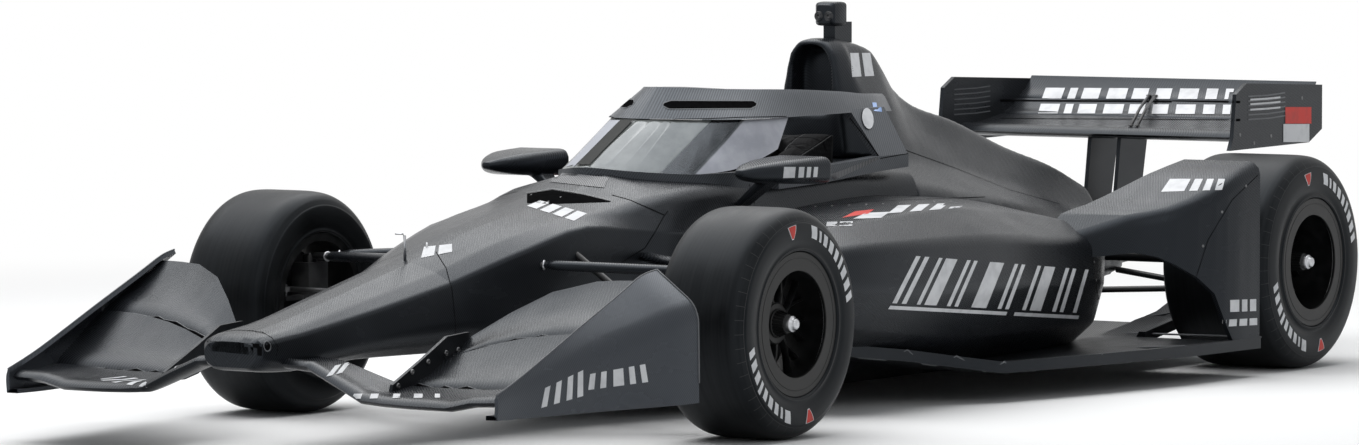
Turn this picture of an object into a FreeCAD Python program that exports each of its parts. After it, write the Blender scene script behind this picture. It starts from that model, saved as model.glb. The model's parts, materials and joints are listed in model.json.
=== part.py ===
import FreeCAD, Part
import math
import os
import Sketcher

# An open wheel racing car with a windscreen frame over its cockpit.
# Millimetres, +X forward, +Y left, +Z up. The origin is on the ground under the
# middle of the car's length and width.

doc = FreeCAD.newDocument("OpenWheelRacingCar")
sheet = doc.addObject("Spreadsheet::Sheet", "Sizes")

# Driving dimensions: alias, millimetres or degrees, meaning
SIZES = [
    ("front_overhang", 1362, "front axle to nose tip"),
    ("wheelbase", 3086, "front axle to rear axle"),
    ("rear_overhang", 829, "rear axle to the end of the rear wing"),
    ("front_tyre_radius", 328, "outside radius of the front tyre"),
    ("front_tyre_width", 296, "width over the sidewalls, front"),
    ("front_tyre_centre", 833, "car centreline to the middle of the front tyre"),
    ("rear_tyre_radius", 342, "outside radius of the rear tyre"),
    ("rear_tyre_width", 388, "width over the sidewalls, rear"),
    ("rear_tyre_centre", 782, "car centreline to the middle of the rear tyre"),
    ("shoulder_radius", 30, "rounding of the tyre between tread and sidewall"),
    ("lip_radius", 205, "outside radius of the rim lips"),
    ("barrel_radius", 190, "outside radius of the rim barrel, where the tyre sits"),
    ("barrel_wall", 8, "wall of the rim barrel"),
    ("cover_ring_bore", 151, "opening in the flat ring on the outside of the wheel"),
    ("cover_ring_wall", 8, "wall of that flat ring"),
    ("front_rim_depth", 137, "wheel middle to the outside face of the front rim"),
    ("rear_rim_depth", 188, "wheel middle to the outside face of the rear rim"),
    ("spoke_face", 45, "wheel middle to the outside face of the spokes"),
    ("spoke_wall", 16, "thickness of the spokes"),
    ("spoke_windows", 10, "openings between the spokes"),
    ("hub_radius", 60, "outside radius of the wheel's hub"),
    ("nut_radius", 34, "outside radius of the centre lock nut"),
    ("front_nut_reach", 112, "wheel middle to the end of the front nut"),
    ("rear_nut_reach", 132, "wheel middle to the end of the rear nut"),
    ("stub_radius", 28, "radius of the axle stub that the hub turns on"),
    ("stub_clearance", 1, "gap between axle stub and hub bore"),
    ("kingpin_offset", 735, "car centreline to the steering pivot"),
    ("upright_height", 236, "height of a front upright"),
    ("upright_length", 96, "fore and aft length of an upright"),
    ("upright_wall", 62, "thickness of an upright"),
    ("pin_radius", 8, "radius of the steering pivot pins"),
    ("pin_clearance", 0.5, "gap between a pin and its eye"),
    ("eye_radius", 22, "outside radius of a wishbone's outer eye"),
    ("eye_height", 22, "height of a wishbone's outer eye"),
    ("link_radius", 10, "radius of a suspension leg"),
    ("leg_offset", 7, "height of a leg above or below the middle of its eye"),
    ("steering_arm", 118, "kingpin to the track rod's eye"),
    ("rack_radius", 13, "radius of the steering rack bar"),
    ("rack_height", 372, "ground to the steering rack"),
    ("rack_clearance", 1, "gap between the rack and its bore"),
    ("rod_stop", 9, "gap between the track rod's eye and the arm's pin"),
    ("floor_low", 40, "ground to the underside of the skid"),
    ("floor_wall", 18, "thickness of the floor"),
    ("floor_rise", 50, "height of the side floor above the skid"),
    ("floor_lip", 17, "height of the rim along the floor's edge"),
    ("skid_half", 280, "half width of the skid"),
    ("floor_edge_front", 600, "half width of the floor at its raised front corner"),
    ("floor_edge_mid", 830, "half width of the floor at the middle of the car"),
    ("floor_edge_rear", 982, "half width of the floor ahead of the rear tyre"),
    ("tub_half", 332, "half width of the tub at the cockpit"),
    ("rim_height", 700, "ground to the cockpit's rim"),
    ("well_half", 236, "half width of the cockpit well"),
    ("well_floor", 140, "ground to the floor of the cockpit well"),
    ("tunnel_width", 290, "width of the space for the driver's legs"),
    ("tunnel_low", 200, "ground to the floor of that space"),
    ("tunnel_high", 490, "ground to its ceiling"),
    ("cover_wall", 12, "wall of the engine cover"),
    ("shaft_radius", 20, "radius of a drive shaft"),
    ("shaft_clearance", 5, "gap between a drive shaft and the hole in the engine cover"),
    ("engine_half", 190, "half width of the engine block"),
    ("engine_top", 505, "ground to the top of the engine block"),
    ("gearbox_half", 118, "half width of the gearbox at its front"),
    ("crash_half", 78, "half width of the rear crash box"),
    ("crash_end", 3800, "front axle to the end of the rear crash box, as drawn"),
    ("starter_radius", 18, "radius of the starter shaft's socket"),
    ("starter_depth", 70, "depth of the starter shaft's socket"),
    ("duct_inner", 372, "car centreline to the inner wall of a side duct"),
    ("duct_outer", 668, "car centreline to the outer wall of a side duct"),
    ("duct_low", 300, "ground to the bottom of a side duct"),
    ("duct_high", 502, "ground to the top of a side duct"),
    ("duct_depth", 500, "depth of a side duct"),
    ("radiator_wall", 58, "thickness of a radiator"),
    ("screen_wall", 9, "thickness of the windscreen"),
    ("base_height", 44, "height of the windscreen's base frame"),
    ("strut_width", 14, "width of the windscreen's centre strut"),
    ("intake_half", 70, "half width of the intake in the roll hoop"),
    ("pod_high", 1190, "ground to the top of the camera pod"),
    ("pod_height", 76, "height of the camera pod"),
    ("pod_half", 38, "half width of the camera pod"),
    ("wing_span_half", 826, "half span of the front wing between its endplates"),
    ("main_thick", 26, "thickness of the front wing's main plane"),
    ("flap_thick", 13, "thickness of the front flaps"),
    ("flap_inner", 396, "car centreline to the inner end of the front flaps"),
    ("adjuster_wall", 10, "thickness of the plates at the flaps' inner ends"),
    ("endplate_wall", 12, "thickness of the front endplates"),
    ("rear_span_half", 548, "half span of the rear wing between its endplates"),
    ("rear_plate_wall", 14, "thickness of the rear endplates"),
    ("rear_plate_top", 897, "ground to the top of the rear endplates"),
    ("rear_plate_low", 680, "ground to the bottom of the rear endplates"),
    ("rear_plate_length", 616, "length of the rear endplates"),
    ("rear_main_thick", 34, "thickness of the rear wing's main plane"),
    ("rear_flap_thick", 14, "thickness of the rear flaps"),
    ("pylon_offset", 56, "car centreline to a rear wing pylon"),
    ("pylon_wall", 14, "thickness of a rear wing pylon"),
    ("guard_half", 985, "car centreline to the outer face of a wheel guard"),
    ("guard_top", 680, "ground to the top of a wheel guard"),
    ("guard_wall", 14, "wall of a wheel guard"),
    ("guard_bend", 42, "rounding between a wheel guard's ramp and its side"),
    ("mirror_centre", 468, "car centreline to the middle of a mirror"),
    ("mirror_height", 718, "ground to the middle of a mirror"),
    ("steering_wheel_width", 270, "width of the steering wheel"),
    ("steering_wheel_height", 165, "height of the steering wheel"),
    ("steering_wheel_wall", 26, "thickness of the steering wheel"),
    ("column_radius", 15, "radius of the steering column"),
    ("column_tilt", 14, "slope of the steering column, degrees"),
    ("seat_half", 190, "half width of the seat"),
    ("seat_clearance", 0.3, "gap between a soft piece and what carries it"),
]


class Dim:
    """A length that carries its number and the spreadsheet expression it comes from."""

    def __init__(self, value, text):
        self.value = float(value)
        self.text = text

    def __float__(self):
        return self.value

    def joined(self, other, sign, value):
        return Dim(value, "(%s %s %s)" % (self.text, sign, as_dim(other).text))

    def __add__(self, other):
        return self.joined(other, "+", self.value + float(other))

    def __sub__(self, other):
        return self.joined(other, "-", self.value - float(other))

    def __mul__(self, other):
        return self.joined(other, "*", self.value * float(other))

    def __truediv__(self, other):
        return self.joined(other, "/", self.value / float(other))

    def __radd__(self, other):
        return as_dim(other) + self

    def __rsub__(self, other):
        return as_dim(other) - self

    def __neg__(self):
        return as_dim(0) - self


def as_dim(number):
    """A plain number as a length without a cell."""
    if isinstance(number, Dim):
        return number
    return Dim(number, repr(float(number)))


class Named:
    """The driving dimensions, read back from the spreadsheet by their aliases."""


D = Named()
for row, (alias, number, meaning) in enumerate(SIZES, start=1):
    sheet.set("A%d" % row, meaning)
    sheet.set("B%d" % row, str(number))
    sheet.setAlias("B%d" % row, alias)
doc.recompute()
for alias, number, meaning in SIZES:
    setattr(D, alias, Dim(sheet.get(alias), "Sizes.%s" % alias))

# Axles, from the overhangs. The drawn wheelbase is the one that the stations below are
# written for: between the axles they stretch with the real wheelbase.
DRAWN_WHEELBASE = 3086.0
HALF_LENGTH = (D.front_overhang + D.wheelbase + D.rear_overhang) / 2
FRONT_AXLE = HALF_LENGTH - D.front_overhang
REAR_AXLE = FRONT_AXLE - D.wheelbase


def station(drawn):
    """Place along the car of a station drawn at a distance ahead of the front axle."""
    drawn = as_dim(drawn)
    if drawn.value >= 0:
        return FRONT_AXLE + drawn
    if drawn.value > -DRAWN_WHEELBASE:
        return FRONT_AXLE + drawn * (D.wheelbase / DRAWN_WHEELBASE)
    return REAR_AXLE + (drawn + DRAWN_WHEELBASE)


def vec(x, y, z):
    """A vector from lengths or plain numbers."""
    return FreeCAD.Vector(float(x), float(y), float(z))


def bind(obj, prop, dim):
    """Tie a property to the spreadsheet."""
    obj.setExpression(prop, as_dim(dim).text)


def place(obj, x, y, z):
    """Tie an object's place to the spreadsheet."""
    bind(obj, ".Placement.Base.x", x)
    bind(obj, ".Placement.Base.y", y)
    bind(obj, ".Placement.Base.z", z)


SUBPARTS = []


def sub_part(obj, label):
    """Name an object as one node of the car."""
    obj.Label = label
    SUBPARTS.append(obj)
    return obj


def feature(label, shape, placement=None):
    """A sub-part whose shape is made with Part's own functions."""
    obj = doc.addObject("Part::Feature", label)
    obj.Shape = shape
    obj.Placement = placement or FreeCAD.Placement()
    return sub_part(obj, label)


# Sketches and bodies


def new_body(label):
    """A body that is one node."""
    body = doc.addObject("PartDesign::Body", label)
    return sub_part(body, label)


def outline(body, role, corners):
    """A closed sketch of straight lines on one origin plane, each corner tied to the sheet."""
    sketch = body.newObject("Sketcher::SketchObject", body.Name + "Sketch")
    for origin_feature in body.Origin.OriginFeatures:
        if origin_feature.Role == role:
            sketch.AttachmentSupport = [(origin_feature, "")]
    sketch.MapMode = "FlatFace"
    corners = [(as_dim(a), as_dim(b)) for a, b in corners]
    count = len(corners)
    for index in range(count):
        start = corners[index]
        end = corners[(index + 1) % count]
        line = Part.LineSegment(vec(start[0], start[1], 0), vec(end[0], end[1], 0))
        sketch.addGeometry(line, False)
    for index in range(count):
        joint = Sketcher.Constraint("Coincident", index, 2, (index + 1) % count, 1)
        sketch.addConstraint(joint)
    for index, (across, along) in enumerate(corners):
        for kind, dim in (("DistanceX", across), ("DistanceY", along)):
            if abs(dim.value) < 1e-9 and "Sizes" not in dim.text:
                axis = -2 if kind == "DistanceX" else -1
                sketch.addConstraint(Sketcher.Constraint("PointOnObject", index, 1, axis))
                continue
            number = sketch.addConstraint(Sketcher.Constraint(kind, -1, 1, index, 1, dim.value))
            bind(sketch, "Constraints[%d]" % number, dim)
    return sketch


def pad(body, sketch, length, middle=True):
    """A pad of the sketch, to both sides of its plane or to one."""
    made = body.newObject("PartDesign::Pad", body.Name + "Pad")
    made.Profile = sketch
    bind(made, "Length", length)
    made.SideType = "Symmetric" if middle else "One side"
    return made


def turned(body, sketch):
    """A full revolution of the sketch about its vertical axis."""
    made = body.newObject("PartDesign::Revolution", body.Name + "Revolution")
    made.Profile = sketch
    made.ReferenceAxis = (sketch, ["V_Axis"])
    made.Angle = 360
    return made


def ring_edges(shape, radius):
    """Names of the circular edges of one radius on a turned shape."""
    names = []
    for number, edge in enumerate(shape.Edges, start=1):
        if hasattr(edge.Curve, "Radius") and abs(edge.Curve.Radius - radius) < 0.01:
            names.append("Edge%d" % number)
    return names


# Lofted shapes


def bow(start, start_pull, end_pull, end):
    """An edge bent by two pulls, as a curve of degree three."""
    curve = Part.BezierCurve()
    curve.setPoles([start, start_pull, end_pull, end])
    return curve.toShape()


def rounded_loop(corners, radii, point):
    """A closed wire through the corners, each rounded. point(a, b) gives the place in space."""
    count = len(corners)
    ends = []
    for index in range(count):
        here = corners[index]
        before = corners[index - 1]
        after = corners[(index + 1) % count]
        to_before = (before[0] - here[0], before[1] - here[1])
        to_after = (after[0] - here[0], after[1] - here[1])
        reach_before = math.hypot(*to_before)
        reach_after = math.hypot(*to_after)
        unit_before = (to_before[0] / reach_before, to_before[1] / reach_before)
        unit_after = (to_after[0] / reach_after, to_after[1] / reach_after)
        cosine = unit_before[0] * unit_after[0] + unit_before[1] * unit_after[1]
        half = math.acos(max(-1.0, min(1.0, cosine))) / 2
        back = min(radii[index] / math.tan(half), 0.47 * reach_before, 0.47 * reach_after)
        # A cubic edge follows the round corner when its pulls lie at this share of the way
        share = 4 / 3 * math.tan((math.pi - 2 * half) / 4) * math.tan(half)
        spots = []
        pulls = ((unit_before, 1), (unit_before, 1 - share), (unit_after, 1 - share), (unit_after, 1))
        for unit, reach in pulls:
            spots.append(point(here[0] + unit[0] * back * reach, here[1] + unit[1] * back * reach))
        ends.append(spots)
    edges = []
    for index in range(count):
        spots = ends[index]
        following = ends[(index + 1) % count][0]
        edges.append(bow(*spots))
        third = (following - spots[3]) * (1 / 3)
        edges.append(bow(spots[3], spots[3] + third, following - third, following))
    return Part.Wire(edges)


def cross_section(x, corners, radii):
    """A rounded section across the car at one station, from (y, z) corners."""
    corners = [(float(y), float(z)) for y, z in corners]
    return rounded_loop(corners, radii, lambda y, z: vec(x, y, z))


def upright_box(x, half, low, high, radii):
    """A rounded box section across the car, as wide on both sides."""
    return cross_section(x, ((half, low), (half, high), (-half, high), (-half, low)), radii)


def slopes(places, values):
    """Slopes at each place of a curve through the values that never overshoots them."""
    steps = []
    for index in range(len(places) - 1):
        steps.append((values[index + 1] - values[index]) / (places[index + 1] - places[index]))
    found = [steps[0]]
    for before, after in zip(steps[:-1], steps[1:]):
        found.append(0.0 if before * after <= 0 else 2 * before * after / (before + after))
    found.append(steps[-1])
    return found


def filled_in(rows, gap, apart=None):
    """More rows between the given ones, no further than the gap apart, on smooth curves."""
    rows = [[float(number) for number in row] for row in rows]
    apart = apart or (lambda first, second: abs(second[0] - first[0]))
    places = [0.0]
    for first, second in zip(rows[:-1], rows[1:]):
        places.append(places[-1] + apart(first, second))
    columns = list(zip(*rows))
    tilts = [slopes(places, column) for column in columns]
    filled = [rows[0]]
    for index in range(len(rows) - 1):
        span = places[index + 1] - places[index]
        count = max(1, math.ceil(span / gap))
        for number in range(1, count + 1):
            part = number / count
            row = []
            for column, tilt in zip(columns, tilts):
                start_weight = 2 * part ** 3 - 3 * part ** 2 + 1
                end_weight = 1 - start_weight
                start_pull = part ** 3 - 2 * part ** 2 + part
                end_pull = part ** 3 - part ** 2
                value = column[index] * start_weight + column[index + 1] * end_weight
                value += span * (tilt[index] * start_pull + tilt[index + 1] * end_pull)
                row.append(value)
            filled.append(row)
    return filled


def flat_row(place, corners):
    """A station and its corners as one row of numbers."""
    row = [place]
    for corner in corners:
        row.extend(corner)
    return row


def sections_along(rows, radii, gap=85):
    """Rounded sections across the car, from rows of (x, corners), filled in smoothly."""
    wires = []
    for row in filled_in([flat_row(place, corners) for place, corners in rows], gap):
        corners = list(zip(row[1::2], row[2::2]))
        wires.append(cross_section(row[0], corners, radii))
    return wires


def both_sides(corners, radii):
    """The corners of a left half from bottom to top, with their mirror on the right."""
    right = [(-y, z) for y, z in reversed(corners)]
    return list(corners) + right, list(radii) + list(reversed(radii))


def loft(wires):
    """A solid through the wires, straight from each to the next."""
    return Part.makeLoft(list(wires), True, True)


def shell_of(rows, radii, gap=85):
    """A closed form, the same on both sides of the car, through half sections (x, corners)."""
    full_rows = []
    for place, corners in rows:
        full, full_radii = both_sides(corners, radii)
        full_rows.append((place, full))
    return loft(sections_along(full_rows, full_radii, gap))


def mirrored(shape):
    """The shape on the other side of the car."""
    return shape.mirror(vec(0, 0, 0), vec(0, 1, 0))


def pair(shape):
    """The shape and its mirror as solids that don't touch."""
    return Part.makeCompound([shape, mirrored(shape)])


def block(x_low, x_high, y_low, y_high, z_low, z_high):
    """A plain box between two corners."""
    size = (float(x_high) - float(x_low), float(y_high) - float(y_low), float(z_high) - float(z_low))
    return Part.makeBox(size[0], size[1], size[2], vec(x_low, y_low, z_low))


def rod(start, end, radius):
    """A round bar between two points."""
    along = end.sub(start)
    return Part.makeCylinder(float(radius), along.Length, start, along)


# Tub and nose

# Left half of each section, bottom to top: underside, flank, crease, shoulder, ridge
HULL_RADII = (40, 60, 22, 70, 26)

NOSE_SEAM = 560
NOSE_SEAM_CORNERS = ((112, 246), (200, 300), (170, 446), (120, 474), (32, 500))
NOSE_STATIONS = (
    (1346, ((64, 246), (98, 264), (101, 314), (84, 332), (34, 338))),
    (1310, ((68, 240), (103, 260), (104, 324), (84, 341), (34, 347))),
    (1180, ((72, 234), (114, 256), (108, 338), (84, 356), (34, 368))),
    (900, ((92, 250), (150, 284), (140, 384), (100, 408), (32, 427))),
    (NOSE_SEAM, NOSE_SEAM_CORNERS),
)
TIP_CORNERS = ((58, 254), (86, 270), (88, 302), (72, 319), (30, 325))


def nose_shape():
    """The nose cone, from its blunt tip back to the seam with the tub."""
    rows = [(HALF_LENGTH, TIP_CORNERS)]
    rows += [(station(drawn), corners) for drawn, corners in NOSE_STATIONS]
    return shell_of(rows, HULL_RADII)


TUB_REAR = -1700
COWL_FRONT = -360
WELL_FRONT = -440
WELL_REAR = -1420


def tub_stations():
    """Sections of the tub, with its cockpit sides at the named half width and height."""
    side = float(D.tub_half)
    rim = float(D.rim_height)
    under = float(D.floor_low + D.floor_wall) - 2
    return (
        (NOSE_SEAM, NOSE_SEAM_CORNERS),
        (250, ((135, 222), (240, 300), (228, 530), (160, 562), (36, 582))),
        (0, ((165, 180), (268, 300), (262, 580), (195, 606), (44, 625))),
        (-200, ((200, 130), (side - 40, 290), (side - 42, 560), (240, 628), (60, 664))),
        (COWL_FRONT, ((240, 90), (side, 270), (side, 548), (272, 655), (70, rim + 8))),
        (-520, ((270, under), (side, 200), (side, 542), (290, rim - 32), (90, rim + 12))),
        (-900, ((280, under), (side, 180), (side, 545), (306, rim - 26), (240, rim - 6))),
        (-1300, ((280, under), (side, 180), (side, 560), (325, rim - 16), (240, rim))),
        (TUB_REAR, ((280, under), (side, 180), (side, 600), (318, rim - 40), (190, rim + 12))),
    )


def tub_outside():
    """The tub without its cockpit, flat below where it stands on the floor."""
    rows = [(station(drawn), corners) for drawn, corners in tub_stations()]
    below = block(station(TUB_REAR) - 10, station(NOSE_SEAM), -600, 600, -100, D.floor_low + D.floor_wall)
    return shell_of(rows, HULL_RADII).cut(below)


def cockpit_well():
    """The hollow that the driver sits in, with rounded upright corners."""
    half = float(D.well_half)
    front = float(station(WELL_FRONT))
    rear = float(station(WELL_REAR))
    corners = (
        (front, -half * 0.55),
        (front, half * 0.55),
        (front - 190, half),
        (rear, half),
        (rear, -half),
        (front - 190, -half),
    )
    radii = (60, 60, 120, 50, 50, 120)
    wire = rounded_loop(corners, radii, lambda x, y: vec(x, y, D.well_floor))
    return Part.Face(wire).extrude(vec(0, 0, 800))


def leg_tunnel():
    """The space for the driver's legs, from the cockpit well to the front axle."""
    half = D.tunnel_width / 2
    return block(station(WELL_FRONT) - 30, FRONT_AXLE, -half, half, D.tunnel_low, D.tunnel_high)


def rack_bore():
    """The bore across the tub that the steering rack slides in."""
    ahead = FRONT_AXLE + D.steering_arm
    start = vec(ahead, -D.kingpin_offset, D.rack_height)
    end = vec(ahead, D.kingpin_offset, D.rack_height)
    return rod(start, end, D.rack_radius + D.rack_clearance)


nose = nose_shape()
tub_solid = tub_outside()
tub_shape = tub_solid.cut(cockpit_well()).cut(leg_tunnel()).cut(rack_bore())
feature("nose_cone", nose)
feature("tub", tub_shape)


# Floor

FLOOR_FRONT = -560
FLOOR_STEP = -2715
FLOOR_REAR = -3400


def floor_section(drawn, edge, lift, skid_lift=0):
    """One section of the floor: skid, sloping sides and a rim along each edge."""
    low = float(D.floor_low) + skid_lift
    wall = float(D.floor_wall)
    side = float(D.floor_low + D.floor_rise) + lift
    skid = float(D.skid_half)
    edge = float(edge)
    lip = float(D.floor_lip)
    inner = min(skid + 120, edge - 60)
    under = [(skid, low), (inner, side), (edge, side)]
    over = [
        (edge, side + wall + lip),
        (edge - 24, side + wall + lip),
        (edge - 34, side + wall),
        (inner, side + wall),
        (skid, low + wall),
    ]
    left = under + over
    loop = left + [(-y, z) for y, z in reversed(left)]
    points = [vec(station(drawn), y, z) for y, z in loop]
    return Part.makePolygon(points + points[:1])


def floor_shape():
    """The floor, its raised front corners and the diffuser between the rear tyres."""
    rear_inner = D.rear_tyre_centre - D.rear_tyre_width / 2 - 22
    front = (
        floor_section(FLOOR_FRONT, 500, 88),
        floor_section(-880, D.floor_edge_front, 74),
        floor_section(-1110, D.floor_edge_front + 55, 48),
        floor_section(-1270, D.floor_edge_front + 130, 22),
        floor_section(-1400, D.floor_edge_mid - 10, 0),
        floor_section(-1840, (D.floor_edge_mid + D.floor_edge_rear) / 2, 0),
        floor_section(-2250, D.floor_edge_rear - 14, 0),
        floor_section(FLOOR_STEP, D.floor_edge_rear, 0),
    )
    rear = (
        floor_section(FLOOR_STEP, rear_inner, 0),
        floor_section(-3080, rear_inner, 55),
        floor_section(FLOOR_REAR, rear_inner, 150, 40),
    )
    return loft(front).fuse(loft(rear))


floor = floor_shape()
feature("floor", floor)


# Side pods, their radiators and the wheel guards

POD_FRONT = -640
# How far a pod is drawn into the tub and the engine cover before they cut it off
POD_DEEPER = 24
SIDE_RADII = (8, 30, 60, 70, 55, 80, 8)


def cover_half(drawn):
    """Half width of the tub or engine cover at a station, where a side pod lies on it."""
    places = ((TUB_REAR, 332), (-1910, 320), (-2430, 264), (-2760, 224), (-3300, 160))
    shift = float(D.tub_half) - 332
    if drawn >= TUB_REAR:
        return places[0][1] + shift
    for (far, far_half), (near, near_half) in zip(places[1:], places[:-1]):
        if drawn >= far:
            part = (near - drawn) / (near - far)
            return near_half + (far_half - near_half) * part + shift
    return places[-1][1] + shift


COVER_REAR = -3300
COVER_RADII = (10, 60, 90, 60, 18)


def cover_solid(inset):
    """The engine cover's outside, or the space inside it at the wall's depth."""
    rows = (
        (TUB_REAR, 112, 620, (186, 712), (122, 915), (50, 1078)),
        (-1910, 112, 600, (170, 690), (100, 890), (34, 1040)),
        (-2030, 112, 582, (160, 675), (85, 820), (30, 925)),
        (-2170, 112, 565, (150, 660), (75, 770), (28, 858)),
        (-2430, 112, 535, (125, 620), (65, 720), (26, 800)),
        (-2760, 165, 480, (100, 560), (55, 640), (24, 702)),
        (-3060, 240, 430, (80, 500), (48, 570), (22, 630)),
        (COVER_REAR, 280, 400, (68, 460), (44, 505), (21, 545)),
    )
    stations = []
    for drawn, low, shoulder, *upper in rows:
        side = cover_half(drawn) - inset
        corners = [(side, low - 3 * inset), (side, shoulder - inset)]
        for y, z in upper:
            corners.append((max(y - inset, 5), z - inset))
        stations.append((station(drawn), corners))
    return shell_of(stations, COVER_RADII)


def pod_row(drawn, outer_low, lower, flank, shoulder, top, inner_top, low=None):
    """One station of the left side pod, from its foot on the floor to its inner top edge."""
    foot = float(D.floor_low + D.floor_rise + D.floor_wall) if low is None else low
    inner = cover_half(drawn) - POD_DEEPER
    shift = float(D.tub_half) - 332
    corners = [(inner, foot), (outer_low + shift, foot)]
    for y, z in (lower, flank, shoulder, top):
        corners.append((y + shift, z))
    corners.append((inner, inner_top))
    return station(drawn), corners


def pod_solid():
    """The left side pod before its duct is cut."""
    rows = (
        pod_row(POD_FRONT, 596, (688, 300), (735, 390), (722, 496), (600, 545), 552, low=250),
        pod_row(-760, 560, (680, 252), (757, 378), (747, 500), (612, 558), 568, low=196),
        pod_row(-1000, 575, (690, 226), (778, 360), (766, 500), (622, 572), 592, low=160),
        pod_row(-1400, 600, (690, 190), (776, 350), (752, 496), (604, 582), 612),
        pod_row(-1900, 560, (650, 185), (716, 330), (700, 462), (562, 545), 585),
        pod_row(-2300, 520, (598, 180), (638, 310), (640, 430), (540, 492), 540),
        pod_row(-2460, 440, (520, 172), (556, 290), (560, 396), (480, 458), 505),
        pod_row(-2700, 290, (326, 165), (356, 260), (366, 350), (320, 404), 445),
    )
    return loft(sections_along(rows, SIDE_RADII))


def duct_space(start, end, spare):
    """The straight duct inside a side pod, or what fills it with a gap all round."""
    across = (D.duct_inner + spare, D.duct_outer - spare)
    return block(end, start, *across, D.duct_low + spare, D.duct_high - spare)


duct_mouth = station(POD_FRONT) + 10
duct_end = station(POD_FRONT) - D.duct_depth
pod_whole = pod_solid().cut(tub_solid).cut(cover_solid(0)).cut(floor)
pod_left = pod_whole.cut(duct_space(duct_mouth, duct_end, 0))
radiator_left = duct_space(duct_end + D.radiator_wall, duct_end, D.seat_clearance)
feature("sidepods", pair(pod_left))
feature("radiators", pair(radiator_left))


def quarter(centre_y, centre_z, radius, upward):
    """Points of a rounded outer corner, from its top round to its side or back."""
    points = []
    for step in range(4):
        angle = math.radians(90 - 30 * step)
        points.append((centre_y + radius * math.cos(angle), centre_z + radius * math.sin(angle)))
    return points if upward else points[::-1]


def guard_section(row):
    """One section of the left wheel guard: a ramp that turns down into a side panel."""
    x, inner, outer, top, low = row
    wall = float(D.guard_wall)
    bend = float(D.guard_bend)
    centre = (outer - bend, top - bend)
    corners = [(inner, top)] + quarter(*centre, bend, True) + [(outer, low), (outer - wall, low)]
    corners += quarter(*centre, bend - wall, False) + [(inner, top - wall)]
    points = [vec(x, y, z) for y, z in corners]
    return Part.makePolygon(points + points[:1])


def guard_shape():
    """The fairing ahead of the left rear tyre, standing on the floor's rim."""
    outer = float(D.guard_half)
    top = float(D.guard_top)
    foot = float(D.floor_low + D.floor_rise + D.floor_wall + D.floor_lip)
    under = foot - 20
    rows = (
        (station(-2200), 500, outer - 345, top - 210, top - 290),
        (station(-2265), 515, outer - 205, top - 158, top - 272),
        (station(-2340), 560, outer - 105, top - 132, top - 310),
        (station(-2470), 620, outer - 35, top - 80, top - 405),
        (station(-2560), 665, outer - 10, top - 40, under),
        (station(-2700), 712, outer, top, under),
    )
    below = block(station(-2760), station(-2000), 300, 1200, under - 50, foot)
    guard = loft([guard_section(row) for row in filled_in(rows, 70)]).cut(below).cut(pod_whole)
    return guard.cut(cover_solid(0))


feature("wheel_guards", pair(guard_shape()))


# Engine cover, roll hoop and camera pod

def cover_shape():
    """The engine cover, a wall thick, open below and at both ends."""
    inside = cover_solid(float(D.cover_wall))
    reach = D.rear_tyre_centre
    height = D.rear_tyre_radius
    hole_radius = D.shaft_radius + D.shaft_clearance
    shaft_way = rod(vec(REAR_AXLE, -reach, height), vec(REAR_AXLE, reach, height), hole_radius)
    return cover_solid(0).cut(inside).cut(shaft_way)


feature("engine_cover", cover_shape())

HOOP_FRONT = -1600


def roll_hoop_shape():
    """The roll hoop's fairing behind the driver's head, with its intake."""
    base = float(D.rim_height) - 10
    rows = (
        (station(HOOP_FRONT), ((126, base), (116, 790), (102, 915), (80, 1032), (42, 1075))),
        (station(-1650), ((150, base), (136, 786), (112, 914), (83, 1036), (46, 1078))),
        (station(TUB_REAR), ((188, base), (160, 780), (122, 915), (85, 1038), (50, 1078))),
    )
    half = float(D.intake_half)
    mouth = ((half, 850), (half * 0.96, 1000), (half * 0.55, 1056))
    corners, radii = both_sides(mouth, (20, 50, 25))
    hollow = Part.Face(cross_section(station(HOOP_FRONT) + 10, corners, radii)).extrude(vec(-90, 0, 0))
    return shell_of(rows, (6, 40, 60, 50, 30)).cut(tub_solid).cut(hollow)


feature("roll_hoop_fairing", roll_hoop_shape())


def camera_pod_shape():
    """The camera pod on its short pedestal above the roll hoop."""
    half = float(D.pod_half)
    middle = float(D.pod_high - D.pod_height / 2)
    tall = float(D.pod_height) / 2
    rows = []
    for drawn, share in ((-1684, 0.72), (-1694, 0.94), (-1727, 1.0), (-1760, 0.94), (-1770, 0.72)):
        low_corner = (half * share, middle - tall * share)
        high_corner = (half * share, middle + tall * share)
        rows.append((station(drawn), (low_corner, high_corner)))
    pod = shell_of(rows, (12, 12), 20)
    neck = block(station(-1815), station(-1716), -21, 21, 1000, middle - tall + 12)
    return pod.fuse(neck).cut(cover_solid(0))


feature("camera_pod", camera_pod_shape())


# Engine, gearbox and rear crash box

ENGINE_REAR = -2360
GEARBOX_REAR = -3310
skid_top = D.floor_low + D.floor_wall

engine = doc.addObject("Part::Box", "engine_block")
bind(engine, "Length", station(TUB_REAR) - station(ENGINE_REAR))
bind(engine, "Width", D.engine_half + D.engine_half)
bind(engine, "Height", D.engine_top - skid_top)
place(engine, station(ENGINE_REAR), -D.engine_half, skid_top)
sub_part(engine, "engine_block")


def gearbox_shape():
    """The gearbox behind the engine, tapering to the crash box."""
    half = float(D.gearbox_half)
    wires = (
        upright_box(station(ENGINE_REAR), half, 120, 470, (20, 30, 30, 20)),
        upright_box(station(-2750), half, 150, 440, (20, 30, 30, 20)),
        cross_section(
            station(GEARBOX_REAR),
            ((half * 0.8, 255), (half * 0.8, 398), (-half * 0.8, 398), (-half * 0.8, 255)),
            (20, 30, 30, 20),
        ),
    )
    return loft(wires)


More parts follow.
